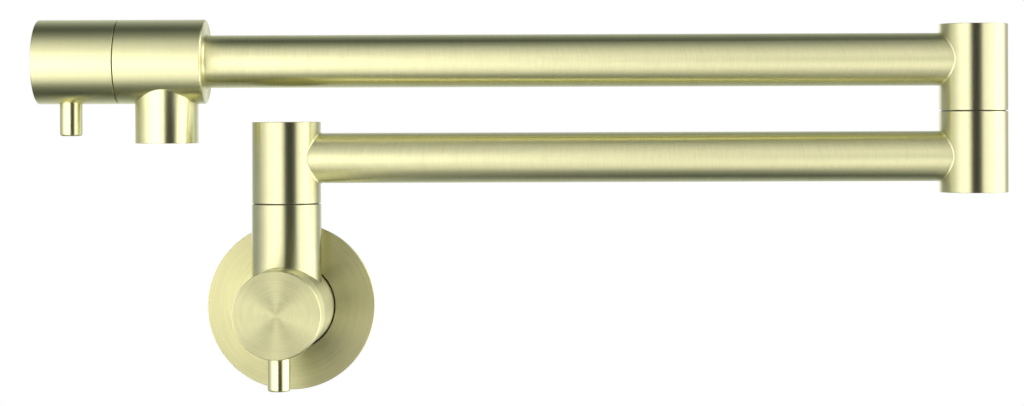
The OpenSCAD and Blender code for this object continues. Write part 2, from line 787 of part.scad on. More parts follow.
// Valve body that comes out of the wall, in one piece with the riser
module valve_body() {
    seat_back_z = seat_z - seat_wall;
    riser_z = post_out - body_front;
    thread_top = riser_h;
    color("gold") at_wall_valve() difference() {
        union() {
            bar(half(body_d), -body_l, 0, edge_r, edge_r);
            translate([0, 0, riser_z]) rotate([-90, 0, 0])
                bar(half(riser_d), 0, riser_h, edge_r, edge_r);
        }
        valve_bores();
        rod(half(nipple_neck_d) + fit_gap, -body_l - over, seat_back_z);
        translate([0, 0, riser_z]) rotate([-90, 0, 0]) {
            rod(half(riser_bore_d), 0, thread_top);
            rod(spigot_r + fit_gap, thread_top - spigot_thread_l, thread_top + over);
        }
    }
}

module wall_cartridge_shell() {
    color("orange") at_wall_valve() cartridge_shell();
}

module wall_cartridge_ring() {
    color("black") at_wall_valve() cartridge_ring();
}

module wall_fixed_disc() {
    color("white") at_wall_valve() fixed_disc();
}

module wall_seat_seal() {
    color("black") at_wall_valve() seat_seal();
}

module shoulder_spigot() {
    color("orange") at_shoulder() spigot();
}

module shoulder_rings() {
    color("black") at_shoulder() spigot_rings();
}

module shoulder_washer() {
    color("dimgray") at_shoulder() seam_washer();
}

module wall_knob() {
    color("khaki") at_wall_valve()
        knob(wall_knob_d, wall_knob_l, wall_lever_z, wall_cavity_z);
}

module wall_lever() {
    color("khaki") at_wall_valve() lever(wall_knob_d, wall_lever_z);
}

module wall_grub_screw() {
    color("silver") at_wall_valve() grub_screw(wall_lever_z);
}

module wall_spindle() {
    color("orange") at_wall_valve() spindle(wall_lever_z);
}

module wall_moving_disc() {
    color("white") at_wall_valve() moving_disc();
}

module wall_spindle_ring() {
    color("black") at_wall_valve() spindle_ring();
}

module wall_stop_ring() {
    color("silver") at_wall_valve() stop_ring();
}

// Collar at the shoulder, with the lower tube let into its side
module shoulder_collar() {
    color("khaki") difference() {
        at_shoulder() swivel_collar(lower_collar_h);
        tube_socket(lower_tube_d, lower_arm_z, 0, 0, collar_d);
    }
}

module shoulder_cap() {
    color("gold") at_shoulder() collar_cap(lower_collar_h);
}

module shoulder_bush() {
    color("white") at_shoulder() swivel_bush();
}

// Lower tube, coped at both ends
module lower_arm_tube() {
    color("gold") difference() {
        along_arm(half(lower_tube_d), lower_arm_z, 0, lower_reach);
        along_arm(half(lower_tube_d) - tube_wall, lower_arm_z, -over, lower_reach + over);
        cope(0, lower_arm_z, lower_tube_d);
        cope(lower_reach, lower_arm_z, lower_tube_d);
    }
}

// Lower collar of the elbow: a blind bar, tapped from above for the spigot
module elbow_lower_collar() {
    top_z = -seam_gap;
    color("khaki") difference() {
        at_elbow() difference() {
            bar(collar_r, top_z - lower_collar_h, top_z, edge_r, edge_r);
            rod(spigot_r + fit_gap, top_z - lower_collar_h + elbow_floor_t, top_z + over);
        }
        tube_socket(lower_tube_d, lower_arm_z, lower_reach, lower_reach - collar_d, lower_reach);
    }
}

module elbow_spigot() {
    color("orange") at_elbow() spigot();
}

module elbow_rings() {
    color("black") at_elbow() spigot_rings();
}

module elbow_washer() {
    color("dimgray") at_elbow() seam_washer();
}

// Upper collar of the elbow, with the upper tube let into its side
module elbow_upper_collar() {
    color("gold") difference() {
        at_elbow() swivel_collar(upper_collar_h);
        tube_socket(upper_tube_d, upper_arm_z, lower_reach, lower_reach - collar_d, lower_reach);
    }
}

module elbow_cap() {
    color("khaki") at_elbow() collar_cap(upper_collar_h);
}

module elbow_bush() {
    color("white") at_elbow() swivel_bush();
}

// Upper tube: let into the outlet body at one end, coped at the other
module upper_arm_tube() {
    socket_x = outlet_face_x + seat_depth + seat_wall;
    color("khaki") difference() {
        along_arm(half(upper_tube_d), upper_arm_z, socket_x, lower_reach);
        along_arm(half(upper_tube_d) - tube_wall, upper_arm_z, socket_x - over,
            lower_reach + over);
        cope(lower_reach, upper_arm_z, upper_tube_d);
    }
}

// Outlet body in one piece with the spout
module outlet_body() {
    spout_bore_r = half(spout_bore_d);
    thread_top = aerator_recess + aerator_h + aerator_washer_t;
    color("gold") at_outlet_valve() difference() {
        union() {
            bar(half(outlet_d), -outlet_l, 0, edge_r, edge_r);
            translate([0, 0, -outlet_nose]) rotate([90, 0, 0])
                bar(half(spout_d), 0, spout_drop, edge_r, edge_r);
        }
        valve_bores();
        rod(half(upper_tube_d) + fit_gap, -outlet_l - over, seat_z - seat_wall);
        translate([0, 0, -outlet_nose]) rotate([90, 0, 0]) {
            rod(spout_bore_r, 0, spout_drop);
            rod(half(aerator_d) + fit_gap, spout_drop - thread_top, spout_drop + over);
        }
    }
}

module outlet_cartridge_shell() {
    color("orange") at_outlet_valve() cartridge_shell();
}

module outlet_cartridge_ring() {
    color("black") at_outlet_valve() cartridge_ring();
}

module outlet_fixed_disc() {
    color("white") at_outlet_valve() fixed_disc();
}

module outlet_seat_seal() {
    color("black") at_outlet_valve() seat_seal();
}

// Threaded ring that holds the flow straightener, with key notches in its rim
module aerator_housing() {
    outer_r = half(aerator_d);
    inner_r = outer_r - aerator_wall;
    lip_r = inner_r - aerator_lip_w;
    z0 = aerator_recess;
    lip_z = z0 + aerator_lip_t;
    notch_r = inner_r;
    color("gold") at_spout() difference() {
        rotate_extrude() polygon([
            [lip_r, z0], [outer_r, z0], [outer_r, z0 + aerator_h], [inner_r, z0 + aerator_h],
            [inner_r, lip_z], [lip_r, lip_z]
        ]);
        for (turn = [0 : 60 : 300])
            rotate([0, 0, turn]) translate([notch_r, -half(aerator_notch_w), 0])
                cube([aerator_d, aerator_notch_w, z0 + aerator_notch_depth]);
    }
}

// Plastic flow straightener with rings of holes
module aerator_insert() {
    insert_r = half(aerator_d) - aerator_wall - fit_gap;
    pitch = (insert_r - insert_edge_w) / (insert_rows + half(insert_hole_share));
    hole_r = half(insert_hole_share * pitch);
    z0 = aerator_recess + aerator_lip_t;
    z1 = aerator_recess + aerator_h - insert_drop;
    color("dimgray") at_spout() difference() {
        rod(insert_r, z0, z1);
        rod(hole_r, z0 - over, z1 + over);
        for (row = [1 : insert_rows])
            for (k = [0 : 6 * row - 1])
                rotate([0, 0, 60 * k / row]) translate([row * pitch, 0, 0])
                    rod(hole_r, z0 - over, z1 + over);
    }
}

// Rubber washer between the aerator and the spout's shoulder
module aerator_washer() {
    z0 = aerator_recess + aerator_h;
    color("black") at_spout()
        ring(half(aerator_d), half(aerator_d) - aerator_washer_w, z0, z0 + aerator_washer_t);
}

module outlet_knob() {
    color("khaki") at_outlet_valve()
        knob(outlet_knob_d, outlet_knob_l, outlet_lever_z, outlet_cavity_z);
}

module outlet_lever() {
    color("gold") at_outlet_valve() lever(outlet_knob_d, outlet_lever_z);
}

module outlet_grub_screw() {
    color("silver") at_outlet_valve() grub_screw(outlet_lever_z);
}

module outlet_spindle() {
    color("orange") at_outlet_valve() spindle(outlet_lever_z);
}

module outlet_moving_disc() {
    color("white") at_outlet_valve() moving_disc();
}

module outlet_spindle_ring() {
    color("black") at_outlet_valve() spindle_ring();
}

module outlet_stop_ring() {
    color("silver") at_outlet_valve() stop_ring();
}

wall_flange();
flange_gasket();
flange_ring();
inlet_nipple();
valve_body();
wall_cartridge_shell();
wall_cartridge_ring();
wall_fixed_disc();
wall_seat_seal();
shoulder_spigot();
shoulder_rings();
shoulder_washer();
wall_knob();
wall_lever();
wall_grub_screw();
wall_spindle();
wall_moving_disc();
wall_spindle_ring();
wall_stop_ring();
shoulder_collar();
shoulder_cap();
shoulder_bush();
lower_arm_tube();
elbow_lower_collar();
elbow_spigot();
elbow_rings();
elbow_washer();
elbow_upper_collar();
elbow_cap();
elbow_bush();
upper_arm_tube();
outlet_body();
outlet_cartridge_shell();
outlet_cartridge_ring();
outlet_fixed_disc();
outlet_seat_seal();
aerator_housing();
aerator_insert();
aerator_washer();
outlet_knob();
outlet_lever();
outlet_grub_screw();
outlet_spindle();
outlet_moving_disc();
outlet_spindle_ring();
outlet_stop_ring();
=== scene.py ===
"""Looks of a wall mounted pot filler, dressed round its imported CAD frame.

Every visible piece is turned ring by ring on its own axle, in the row frame, and rides on its CAD body.
+X runs along the folded arms, +Z is up and -Y points out of the wall. Sizes in the classes are millimetres.
"""

import logging
import math
from dataclasses import dataclass, field
from enum import StrEnum, auto
from functools import cache

import bmesh
import bpy
import numpy as np
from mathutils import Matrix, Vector


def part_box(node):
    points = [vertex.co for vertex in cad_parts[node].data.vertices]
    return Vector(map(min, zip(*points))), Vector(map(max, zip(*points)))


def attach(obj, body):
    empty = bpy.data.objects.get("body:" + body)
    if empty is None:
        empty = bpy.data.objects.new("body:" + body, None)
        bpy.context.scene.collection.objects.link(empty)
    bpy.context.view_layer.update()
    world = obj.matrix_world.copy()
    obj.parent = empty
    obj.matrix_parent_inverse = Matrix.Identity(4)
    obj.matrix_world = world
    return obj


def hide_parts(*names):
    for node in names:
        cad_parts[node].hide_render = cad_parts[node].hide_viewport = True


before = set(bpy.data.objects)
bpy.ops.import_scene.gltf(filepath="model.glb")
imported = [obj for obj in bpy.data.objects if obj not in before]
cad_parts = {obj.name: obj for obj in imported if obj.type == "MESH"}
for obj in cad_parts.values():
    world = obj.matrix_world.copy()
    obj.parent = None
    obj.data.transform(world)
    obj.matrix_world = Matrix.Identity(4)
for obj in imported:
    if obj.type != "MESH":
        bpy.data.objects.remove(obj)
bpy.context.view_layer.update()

MM = 0.001
UV_LENGTH = 100.0  # millimetres of surface to one step of V
TURNED = "turned"
BRUSH = "brush"
TRUE_NORMAL = "true_normal"
AROUND = "around"
ALONG = "along"
HIDDEN = (0.0, 0.0)  # the normal of a surface that nobody sees
STRAIGHT = 1e-6  # radians, below which a bend is no corner
NO_LENGTH = 1e-9  # a length that stands for none where something is divided by it
DRAWN = 0.5  # length of a corner's kept normal, above which its surface is drawn
NEARLY = 0.999  # share of a full rounding that leaves a trace of the flat beside it
SAME_PLACE = 1e-7  # metres within which two points are one
SAME_PLACE_JOINED = 1e-6  # the same in a piece that was joined from two
HALF = 0.5  # where a sheet of size 1 ends, in its own space
FACING = 0.9  # cosine from which a face belongs to the turned face
X_AXIS, Y_AXIS, Z_AXIS = Vector((1, 0, 0)), Vector((0, 1, 0)), Vector((0, 0, 1))

Colour = tuple[float, float, float]
Stops = dict[float, float]
Socket = bpy.types.NodeSocket
Value = float | tuple | Socket
Pattern = tuple[Socket, Socket, dict[str, Value]]

log = logging.getLogger("pot_filler")


class Body(StrEnum):
    """The CAD bodies that pieces ride on."""

    WALL_VALVE = auto()
    WALL_HANDLE = auto()
    LOWER_ARM = auto()
    UPPER_ARM = auto()
    OUTLET_HANDLE = auto()


class Slot(StrEnum):
    """The record's material slots."""

    BRUSHED_GOLD = auto()
    RAW_BRASS = auto()
    RUBBER = auto()
    DARK_WASHER = auto()
    BEARING_PLASTIC = auto()
    CERAMIC = auto()
    STEEL = auto()
    AERATOR_PLASTIC = auto()


@dataclass(frozen=True)
class Axle:
    """The line that a piece is turned about, with the direction where its angle is zero."""

    origin: Vector
    along: Vector
    across: Vector

    @property
    def up(self) -> Vector:
        """The third direction, square to the other two."""
        return self.along.cross(self.across)

    def shifted(self, distance: float) -> "Axle":
        """The same axle with its origin moved along itself, in millimetres."""
        return Axle(self.origin + self.along * distance, self.along, self.across)

    def spokes(self, angles: np.ndarray) -> np.ndarray:
        """Unit directions away from the axle at these angles."""
        return np.outer(np.cos(angles), self.across) + np.outer(np.sin(angles), self.up)


OUT_OF_WALL = Axle(Vector((0, 0, 0)), -Y_AXIS, X_AXIS)


@dataclass(frozen=True)
class Corner:
    """A corner of a turned outline: its place along the axle, its radius and its rounding."""

    along: float
    radius: float
    rounding: float = 0.0


@dataclass
class Ring:
    """A closed ring of points, with the surface normals just before and just after it."""

    points: np.ndarray
    before: np.ndarray
    after: np.ndarray


@dataclass
class Lathe:
    """Turns pieces ring by ring about one axle."""

    axle: Axle
    steps: int = 128
    turn_per_facet: float = math.radians(15)

    @property
    def angles(self) -> np.ndarray:
        """The angle of every point of a ring."""
        return np.arange(self.steps) * (2 * math.pi / self.steps)

    def ring(self, along: np.ndarray | float, radius: float, before: tuple[float, float] = HIDDEN,
             after: tuple[float, float] = HIDDEN) -> Ring:
        """Make a round ring.

        Args:
            along: Place along the axle, one for all points or one for each.
            radius: Radius of the ring.
            before: Normal of the surface that ends here, as its parts along the axle and outwards.
            after: Normal of the surface that starts here, in the same way.

        Returns:
            The ring, in millimetres of the row frame.
        """
        spokes = self.axle.spokes(self.angles)
        places = np.outer(np.ones(self.steps) * along, self.axle.along)
        points = np.array(self.axle.origin) + places + radius * spokes
        normals = [n[0] * np.array(self.axle.along) + n[1] * spokes for n in (before, after)]
        return Ring(points, *normals)

    def outline(self, corners: list[Corner], closed: bool = False) -> list[Ring]:
        """Turn an outline into rings.

        Args:
            corners: Corners in order, with the piece's outside on the left of the way.
            closed: True where the outline joins its own start.

        Returns:
            The rings, with rounded corners as arcs.
        """
        rings = []
        last = len(corners) - 1
        for i, corner in enumerate(corners):
            tip = np.array([corner.along, corner.radius])
            into = self._way(corners[i - 1], corner) if closed or i > 0 else self._way(corner, corners[1])
            out = self._way(corner, corners[(i + 1) % len(corners)]) if closed or i < last else into
            first, second = np.array([-into[1], into[0]]), np.array([-out[1], out[0]])
            bend = math.atan2(into[0] * out[1] - into[1] * out[0], float(into @ out))
            if corner.rounding == 0 or abs(bend) < STRAIGHT:
                rings.append(self.ring(corner.along, corner.radius, tuple(first), tuple(second)))
                continue
            side = -math.copysign(1, bend)
            start = tip - into * corner.rounding * math.tan(abs(bend) / 2)
            centre = start - side * corner.rounding * first
            facets = max(2, math.ceil(abs(bend) / self.turn_per_facet))
            for k in range(facets + 1):
                turn = bend * k / facets
                normal = first * math.cos(turn) - into * math.sin(turn)
                point = centre + side * corner.rounding * normal
                rings.append(self.ring(point[0], point[1], tuple(normal), tuple(normal)))
        return rings

    @staticmethod
    def _way(start: Corner, end: Corner) -> np.ndarray:
        """Unit direction from one corner to the next."""
        way = np.array([end.along - start.along, end.radius - start.radius])
        return way / np.linalg.norm(way)

    def foot(self, bore: float, radius: float, seat_radius: float, round_radius: float, fillet: float,
             at: float = 0.0, side: int = 1, facets: int = 6) -> list[Ring]:
        """Let a pipe's end into a round piece that stands across it, with the fillet of a rolled ball.

        Args:
            bore: Radius of the pipe's bore.
            radius: Radius of the pipe.
            seat_radius: Radius, inside the round piece, that the pipe's end is cut to.
            round_radius: Radius of the round piece.
            fillet: Radius of the ball.
            at: Place of the round piece's axis along this axle.
            side: 1 where the pipe leaves towards the axle's end, -1 where it comes from its start.
            facets: Number of steps over the fillet.

        Returns:
            The rings, in the order of the axle.
        """
        cosines = np.cos(self.angles)
        ends = [self.ring(at + side * np.sqrt(seat_radius**2 - (inner * cosines) ** 2), inner)
                for inner in (bore, radius)]
        spokes = self.axle.spokes(self.angles)
        along, across = np.array(self.axle.along), np.array(self.axle.across)
        sideways = (radius + fillet) * cosines
        reach = np.sqrt((round_radius + fillet) ** 2 - sideways**2)
        ball = np.outer(side * reach, along) + (radius + fillet) * spokes
        to_round = -(np.outer(side * reach, along) + np.outer(sideways, across)) / (round_radius + fillet)
        to_pipe = -spokes
        gap = np.arccos(np.clip((to_round * to_pipe).sum(1), -1, 1))[:, None]
        rings = []
        for k in range(facets + 1):
            share = k / facets
            way = (np.sin((1 - share) * gap) * to_round + np.sin(share * gap) * to_pipe) / np.sin(gap)
            points = np.array(self.axle.origin) + at * along + ball + fillet * way
            rings.append(Ring(points, -way, -way))
        rings[0].before = np.zeros_like(rings[0].before)
        if side > 0:
            return ends + rings
        rings[0].after = np.zeros_like(rings[0].after)
        return (ends + rings)[::-1]

    def turn(self, name: str, corners: list[Corner]) -> bpy.types.Object:
        """Turn a piece from its outline, which runs from axle to axle or else joins its own start."""
        closed = corners[0].radius > 0
        return self.build(name, self.outline(corners, closed), closed)

    def build(self, name: str, rings: list[Ring], closed: bool = True) -> bpy.types.Object:
        """Extrude a circle through all rings, in edit mode.

        Args:
            name: Name of the piece.
            rings: The rings in order, in millimetres.
            closed: True where the last ring joins the first one.

        Returns:
            The piece, at the origin, with its place in its mesh.
        """
        bpy.ops.object.select_all(action="DESELECT")
        bpy.ops.mesh.primitive_circle_add(vertices=self.steps, radius=MM)
        piece = bpy.context.object
        piece.name = piece.data.name = name
        bpy.ops.object.mode_set(mode="EDIT")
        shape = bmesh.from_edit_mesh(piece.data)
        around, along = (shape.verts.layers.int.new(name) for name in (AROUND, ALONG))
        for k, vert in enumerate(shape.verts):
            vert[around] = k
            vert.co = rings[0].points[k] * MM
            vert.select = True
        for step, ring in enumerate(rings[1:] + rings[:1] * closed, start=1):
            bpy.ops.mesh.extrude_region()
            shape = bmesh.from_edit_mesh(piece.data)
            around, along = (shape.verts.layers.int[name] for name in (AROUND, ALONG))
            for vert in shape.verts:
                if vert.select:
                    vert.co = ring.points[vert[around]] * MM
                    vert[along] = step
        self._mark(shape, rings + rings[:1] * closed)
        bmesh.update_edit_mesh(piece.data)
        bpy.ops.mesh.select_all(action="SELECT")
        bpy.ops.mesh.remove_doubles(threshold=SAME_PLACE)
        bpy.ops.mesh.normals_make_consistent(inside=False)
        bpy.ops.object.mode_set(mode="OBJECT")
        bpy.ops.object.shade_smooth()
        for layer in (AROUND, ALONG):
            piece.data.attributes.remove(piece.data.attributes[layer])
        return piece

    def _mark(self, shape: bmesh.types.BMesh, rings: list[Ring]) -> None:
        """Write each face corner's place on the turned surface and its true normal.

        Args:
            shape: The edit mesh, before its doubles are merged.
            rings: The rings in order, with the first one again at the end where it is closed.
        """
        around, along = (shape.verts.layers.int[name] for name in (AROUND, ALONG))
        turned = shape.loops.layers.uv.new(TURNED)
        brush = shape.loops.layers.float_vector.new(BRUSH)
        true_normal = shape.loops.layers.float_vector.new(TRUE_NORMAL)
        gaps = [np.linalg.norm(b.points - a.points, axis=1).mean() for a, b in zip(rings, rings[1:])]
        lengths = np.concatenate([[0.0], np.cumsum(gaps)]) * MM
        for face in shape.faces:
            start = min(vert[along] for vert in face.verts)
            wraps = {vert[around] for vert in face.verts} == {0, self.steps - 1}
            for loop in face.loops:
                k, row = loop.vert[around], loop.vert[along]
                normals = rings[row].after if row == start else rings[row].before
                turn = self.steps if wraps and k == 0 else k
                angle = 2 * math.pi * k / self.steps
                loop[turned].uv = (turn / self.steps, lengths[row] / MM / UV_LENGTH)
                loop[brush] = (lengths[row], math.cos(angle), math.sin(angle))
                loop[true_normal] = normals[k]


def merge(keeper: bpy.types.Object, other: bpy.types.Object) -> bpy.types.Object:
    """Join two turned pieces into one solid, without the tiny edges that this leaves.

    Args:
        keeper: The piece that stays.
        other: The piece that goes into it.

    Returns:
        The joined piece.
    """
    bpy.ops.object.select_all(action="DESELECT")
    bpy.context.view_layer.objects.active = keeper
    keeper.select_set(True)
    union = keeper.modifiers.new("union", "BOOLEAN")
    union.operation = "UNION"
    union.solver = "EXACT"
    union.object = other
    bpy.ops.object.modifier_apply(modifier=union.name)
    bpy.data.objects.remove(other)
    bpy.ops.object.mode_set(mode="EDIT")
    bpy.ops.mesh.select_all(action="SELECT")
    bpy.ops.mesh.remove_doubles(threshold=SAME_PLACE_JOINED)
    bpy.ops.object.mode_set(mode="OBJECT")
    return keeper


def set_true_normals(piece: bpy.types.Object) -> None:
    """Shade a piece by the normals of its drawn surfaces, and drop their marks.

    Args:
        piece: The piece.
    """
    mesh = piece.data
    marks = mesh.attributes[TRUE_NORMAL]
    normals = np.zeros(len(mesh.loops) * 3, np.float32)
    marks.data.foreach_get("vector", normals)
    normals = normals.reshape(-1, 3)
    size = np.linalg.norm(normals, axis=1, keepdims=True)
    normals = np.where(size > DRAWN, normals / np.maximum(size, NO_LENGTH), 0)
    mesh.attributes.remove(marks)
    mesh.normals_split_custom_set(normals.tolist())


class Shader:
    """The node tree of a material or world, built node by node."""

    def __init__(self, owner: bpy.types.Material | bpy.types.World) -> None:
        """Start with an empty node tree.

        Args:
            owner: The material or world that the tree is for.
        """
        owner.use_nodes = True
        self.tree = owner.node_tree
        self.tree.nodes.clear()

    def node(self, kind: str, *inputs: Value | None, settings: dict[str, str] | None = None,
             **named: Value) -> bpy.types.Node:
        """Add a node.

        Args:
            kind: Blender's name of the node's type.
            *inputs: What its first sockets take: a number, a colour, another node's socket or None.
            settings: The node's own settings.
            **named: What its other sockets take, by the socket's name with _ for a space.

        Returns:
            The node.
        """
        made = self.tree.nodes.new(kind)
        for key, value in (settings or {}).items():
            setattr(made, key, value)
        feeds = list(zip(made.inputs, inputs))
        feeds += [(made.inputs[key.replace("_", " ")], value) for key, value in named.items()]
        for socket, value in feeds:
            if isinstance(value, Socket):
                self.tree.links.new(value, socket)
            elif value is not None:
                socket.default_value = value
        return made

    def calculate(self, operation: str, first: Value, second: Value) -> Socket:
        """The result of a sum, by Blender's name of it."""
        return self.node("ShaderNodeMath", first, second, settings={"operation": operation}).outputs[0]

    def mix(self, share: Value, first: Value, second: Value) -> Socket:
        """Blend two levels, or two colours.

        Args:
            share: Share of the second one.
            first: A level or a colour.
            second: The same.

        Returns:
            The result's socket.
        """
        if not isinstance(second, tuple):
            level = self.node("ShaderNodeMix", share, None, first, second, settings={"data_type": "FLOAT"})
            return level.outputs[0]
        skipped = [None] * 5
        colour = self.node("ShaderNodeMix", share, *skipped, (*first, 1), (*second, 1),
                           settings={"data_type": "RGBA"})
        return colour.outputs[2]

    def share(self, value: Socket, reach: float) -> Socket:
        """A value from -reach to reach as a share from 0 to 1."""
        return self.node("ShaderNodeMapRange", value, From_Min=-reach, From_Max=reach).outputs["Result"]

    def ramp(self, factor: Socket, stops: Stops) -> Socket:
        """Turn a factor from 0 to 1 into a level.

        Args:
            factor: The socket that gives the factor.
            stops: Levels from 0 to 1 by factor.

        Returns:
            The level's socket.
        """
        made = self.node("ShaderNodeValToRGB", factor)
        elements = made.color_ramp.elements
        elements.remove(elements[1])
        for i, (position, level) in enumerate(stops.items()):
            element = elements[0] if i == 0 else elements.new(position)
            element.position = position
            element.color = (level, level, level, 1)
        return made.outputs["Color"]


@dataclass(frozen=True)
class Finish:
    """A plain stock with a fine grain: rubber, plastic, ceramic, brass or steel."""

    slot: Slot
    light: Colour
    dark: Colour
    roughness: float
    metallic: float = 0.0
    roughness_swing: float = 0.06
    relief: float = 0.00001
    marks_per_metre: float = 1500.0
    name: str = ""

    def material(self) -> bpy.types.Material:
        """Make the material, whose tint, roughness and relief follow one pattern.

        Returns:
            The material.
        """
        made = bpy.data.materials.new(self.name or self.slot.value)
        shader = Shader(made)
        pattern, height, brushing = self._pattern(shader)
        rough = shader.node("ShaderNodeMapRange", pattern, To_Min=self.roughness - self.roughness_swing,
                            To_Max=self.roughness + self.roughness_swing)
        bump = shader.node("ShaderNodeBump", Strength=1.0, Distance=self.relief, Height=height)
        surface = shader.node("ShaderNodeBsdfPrincipled", Metallic=self.metallic,
                              Base_Color=shader.mix(pattern, self.dark, self.light),
                              Roughness=rough.outputs["Result"], Normal=bump.outputs["Normal"],
                              **brushing)
        shader.node("ShaderNodeOutputMaterial", surface.outputs["BSDF"])
        return made

    def _pattern(self, shader: Shader) -> Pattern:
        """Make the grain in the piece's own space.

        Args:
            shader: The material's tree.

        Returns:
            The sockets for its tint and its relief, and what the surface gets for its brushing.
        """
        space = shader.node("ShaderNodeTexCoord")
        grain = shader.node("ShaderNodeTexNoise", space.outputs["Object"], Scale=self.marks_per_metre,
                            Detail=4.0)
        return grain.outputs["Fac"], grain.outputs["Fac"], {}


@dataclass(frozen=True)
class BrushedGold(Finish):
    """Satin gold plating, brushed round each piece as it turned on the lathe, with smoother pale streaks."""

    slot: Slot = Slot.BRUSHED_GOLD
    light: Colour = (0.81, 0.79, 0.46)
    dark: Colour = (0.70, 0.685, 0.385)
    roughness: float = 0.355
    metallic: float = 1.0
    roughness_swing: float = -0.03
    relief: float = 0.000012
    marks_per_metre: float = 2600.0
    marks_around: float = 1.2
    cloud_size: float = 12.0
    cloud_share: float = 0.35
    anisotropy: float = 0.9
    quarter_turn: float = 0.25

    def _pattern(self, shader: Shader) -> Pattern:
        """Make streaks round the piece, clouds in their tint, and a shine that spreads across them.

        Args:
            shader: The material's tree.

        Returns:
            The sockets for their tint and their relief, and what the surface gets for its brushing.
        """
        streaks = self._noise(shader, self.marks_per_metre, detail=3.0)
        clouds = self._noise(shader, self.marks_per_metre / self.cloud_size, detail=2.0)
        tangent = shader.node("ShaderNodeTangent", settings={"direction_type": "UV_MAP", "uv_map": TURNED})
        brushing = {"Anisotropic": self.anisotropy, "Anisotropic_Rotation": self.quarter_turn,
                    "Tangent": tangent.outputs["Tangent"]}
        return shader.mix(self.cloud_share, streaks, clouds), streaks, brushing

    def _noise(self, shader: Shader, along: float, detail: float) -> Socket:
        """Make noise that is drawn out round the piece.

        Args:
            shader: The material's tree.
            along: Features per metre along the surface.
            detail: Octaves.

        Returns:
            The noise's level.
        """
        marks = shader.node("ShaderNodeAttribute", settings={"attribute_name": BRUSH})
        stretch = shader.node("ShaderNodeMapping", marks.outputs["Vector"],
                              Scale=(along, self.marks_around, self.marks_around))
        noise = shader.node("ShaderNodeTexNoise", stretch.outputs["Vector"], Scale=1.0, Detail=detail,
                            Roughness=0.6)
        return noise.outputs["Fac"]


GOLD = BrushedGold()
# Copy of the gold for the turned faces: its rougher, coarser turned finish is real, its darker colour is
# painted shade
GOLD_FACE_PAINTED_SHADE = BrushedGold(light=(0.70, 0.68, 0.385), dark=(0.47, 0.455, 0.24), roughness=0.40, relief=0.000025,
                        marks_per_metre=1700.0, anisotropy=1.0, name="turned_gold_face_painted_shade")
# Darker, less yellow copy of the gold for the valve body, collars and caps: its colour is painted shade
GOLD_UPRIGHT_PAINTED_SHADE = BrushedGold(light=(0.62, 0.605, 0.365), dark=(0.535, 0.525, 0.308), relief=0.000016,
                           marks_per_metre=2300.0, name="brushed_gold_upright_painted_shade")
# Brighter copy of the gold for the arm tubes: its colour is painted light
GOLD_TUBE_PAINTED_LIGHT = BrushedGold(light=(0.94, 0.915, 0.54), dark=(0.66, 0.64, 0.36), roughness_swing=-0.05,
                        relief=0.00003, marks_per_metre=1900.0, name="brushed_gold_tube_painted_light")
STOCK = {finish.slot: finish for finish in (
    Finish(Slot.RAW_BRASS, (0.80, 0.62, 0.30), (0.66, 0.50, 0.23), roughness=0.34, metallic=1.0),
    Finish(Slot.RUBBER, (0.030, 0.030, 0.029), (0.014, 0.014, 0.014), roughness=0.62),
    Finish(Slot.DARK_WASHER, (0.080, 0.070, 0.045), (0.045, 0.040, 0.026), roughness=0.5),
    Finish(Slot.BEARING_PLASTIC, (0.82, 0.82, 0.78), (0.72, 0.72, 0.69), roughness=0.42),
    Finish(Slot.CERAMIC, (0.86, 0.85, 0.81), (0.79, 0.78, 0.74), roughness=0.16),
    Finish(Slot.STEEL, (0.62, 0.62, 0.63), (0.50, 0.50, 0.51), roughness=0.32, metallic=1.0),
    Finish(Slot.AERATOR_PLASTIC, (0.34, 0.35, 0.36), (0.25, 0.26, 0.27), roughness=0.45),
)}


@cache
def paint(finish: Finish) -> bpy.types.Material:
    """The finish's material, made when it is first asked for."""
    return finish.material()


def place(piece: bpy.types.Object, body: Body, node: str, finish: Finish,
          faced: Vector | None = None) -> None:
    """Finish a turned piece and put it in its CAD node's place.

    Args:
        piece: The piece.
        body: The body that it rides on.
        node: The CAD node that it stands for.
        finish: Its finish, which knows its material slot.
        faced: The way that its turned face points, or None where it has none in view.
    """
    set_true_normals(piece)
    piece.data.materials.clear()
    piece.data.materials.append(paint(finish))
    if faced is not None:
        # Faces that point the faced way take the darker face copy of the gold, whose colour is painted shade
        piece.data.materials.append(paint(GOLD_FACE_PAINTED_SHADE))
        for face in piece.data.polygons:
            face.material_index = int(face.normal.dot(faced) > FACING)
    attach(piece, body.value)
    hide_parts(node)
    log.info("%s on %s, %d faces", piece.name, body.value, len(piece.data.polygons))


def node_box(node: str) -> tuple[Vector, Vector]:
    """Lowest and highest corner of a CAD node, in millimetres."""
    low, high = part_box(node)
    return low / MM, high / MM


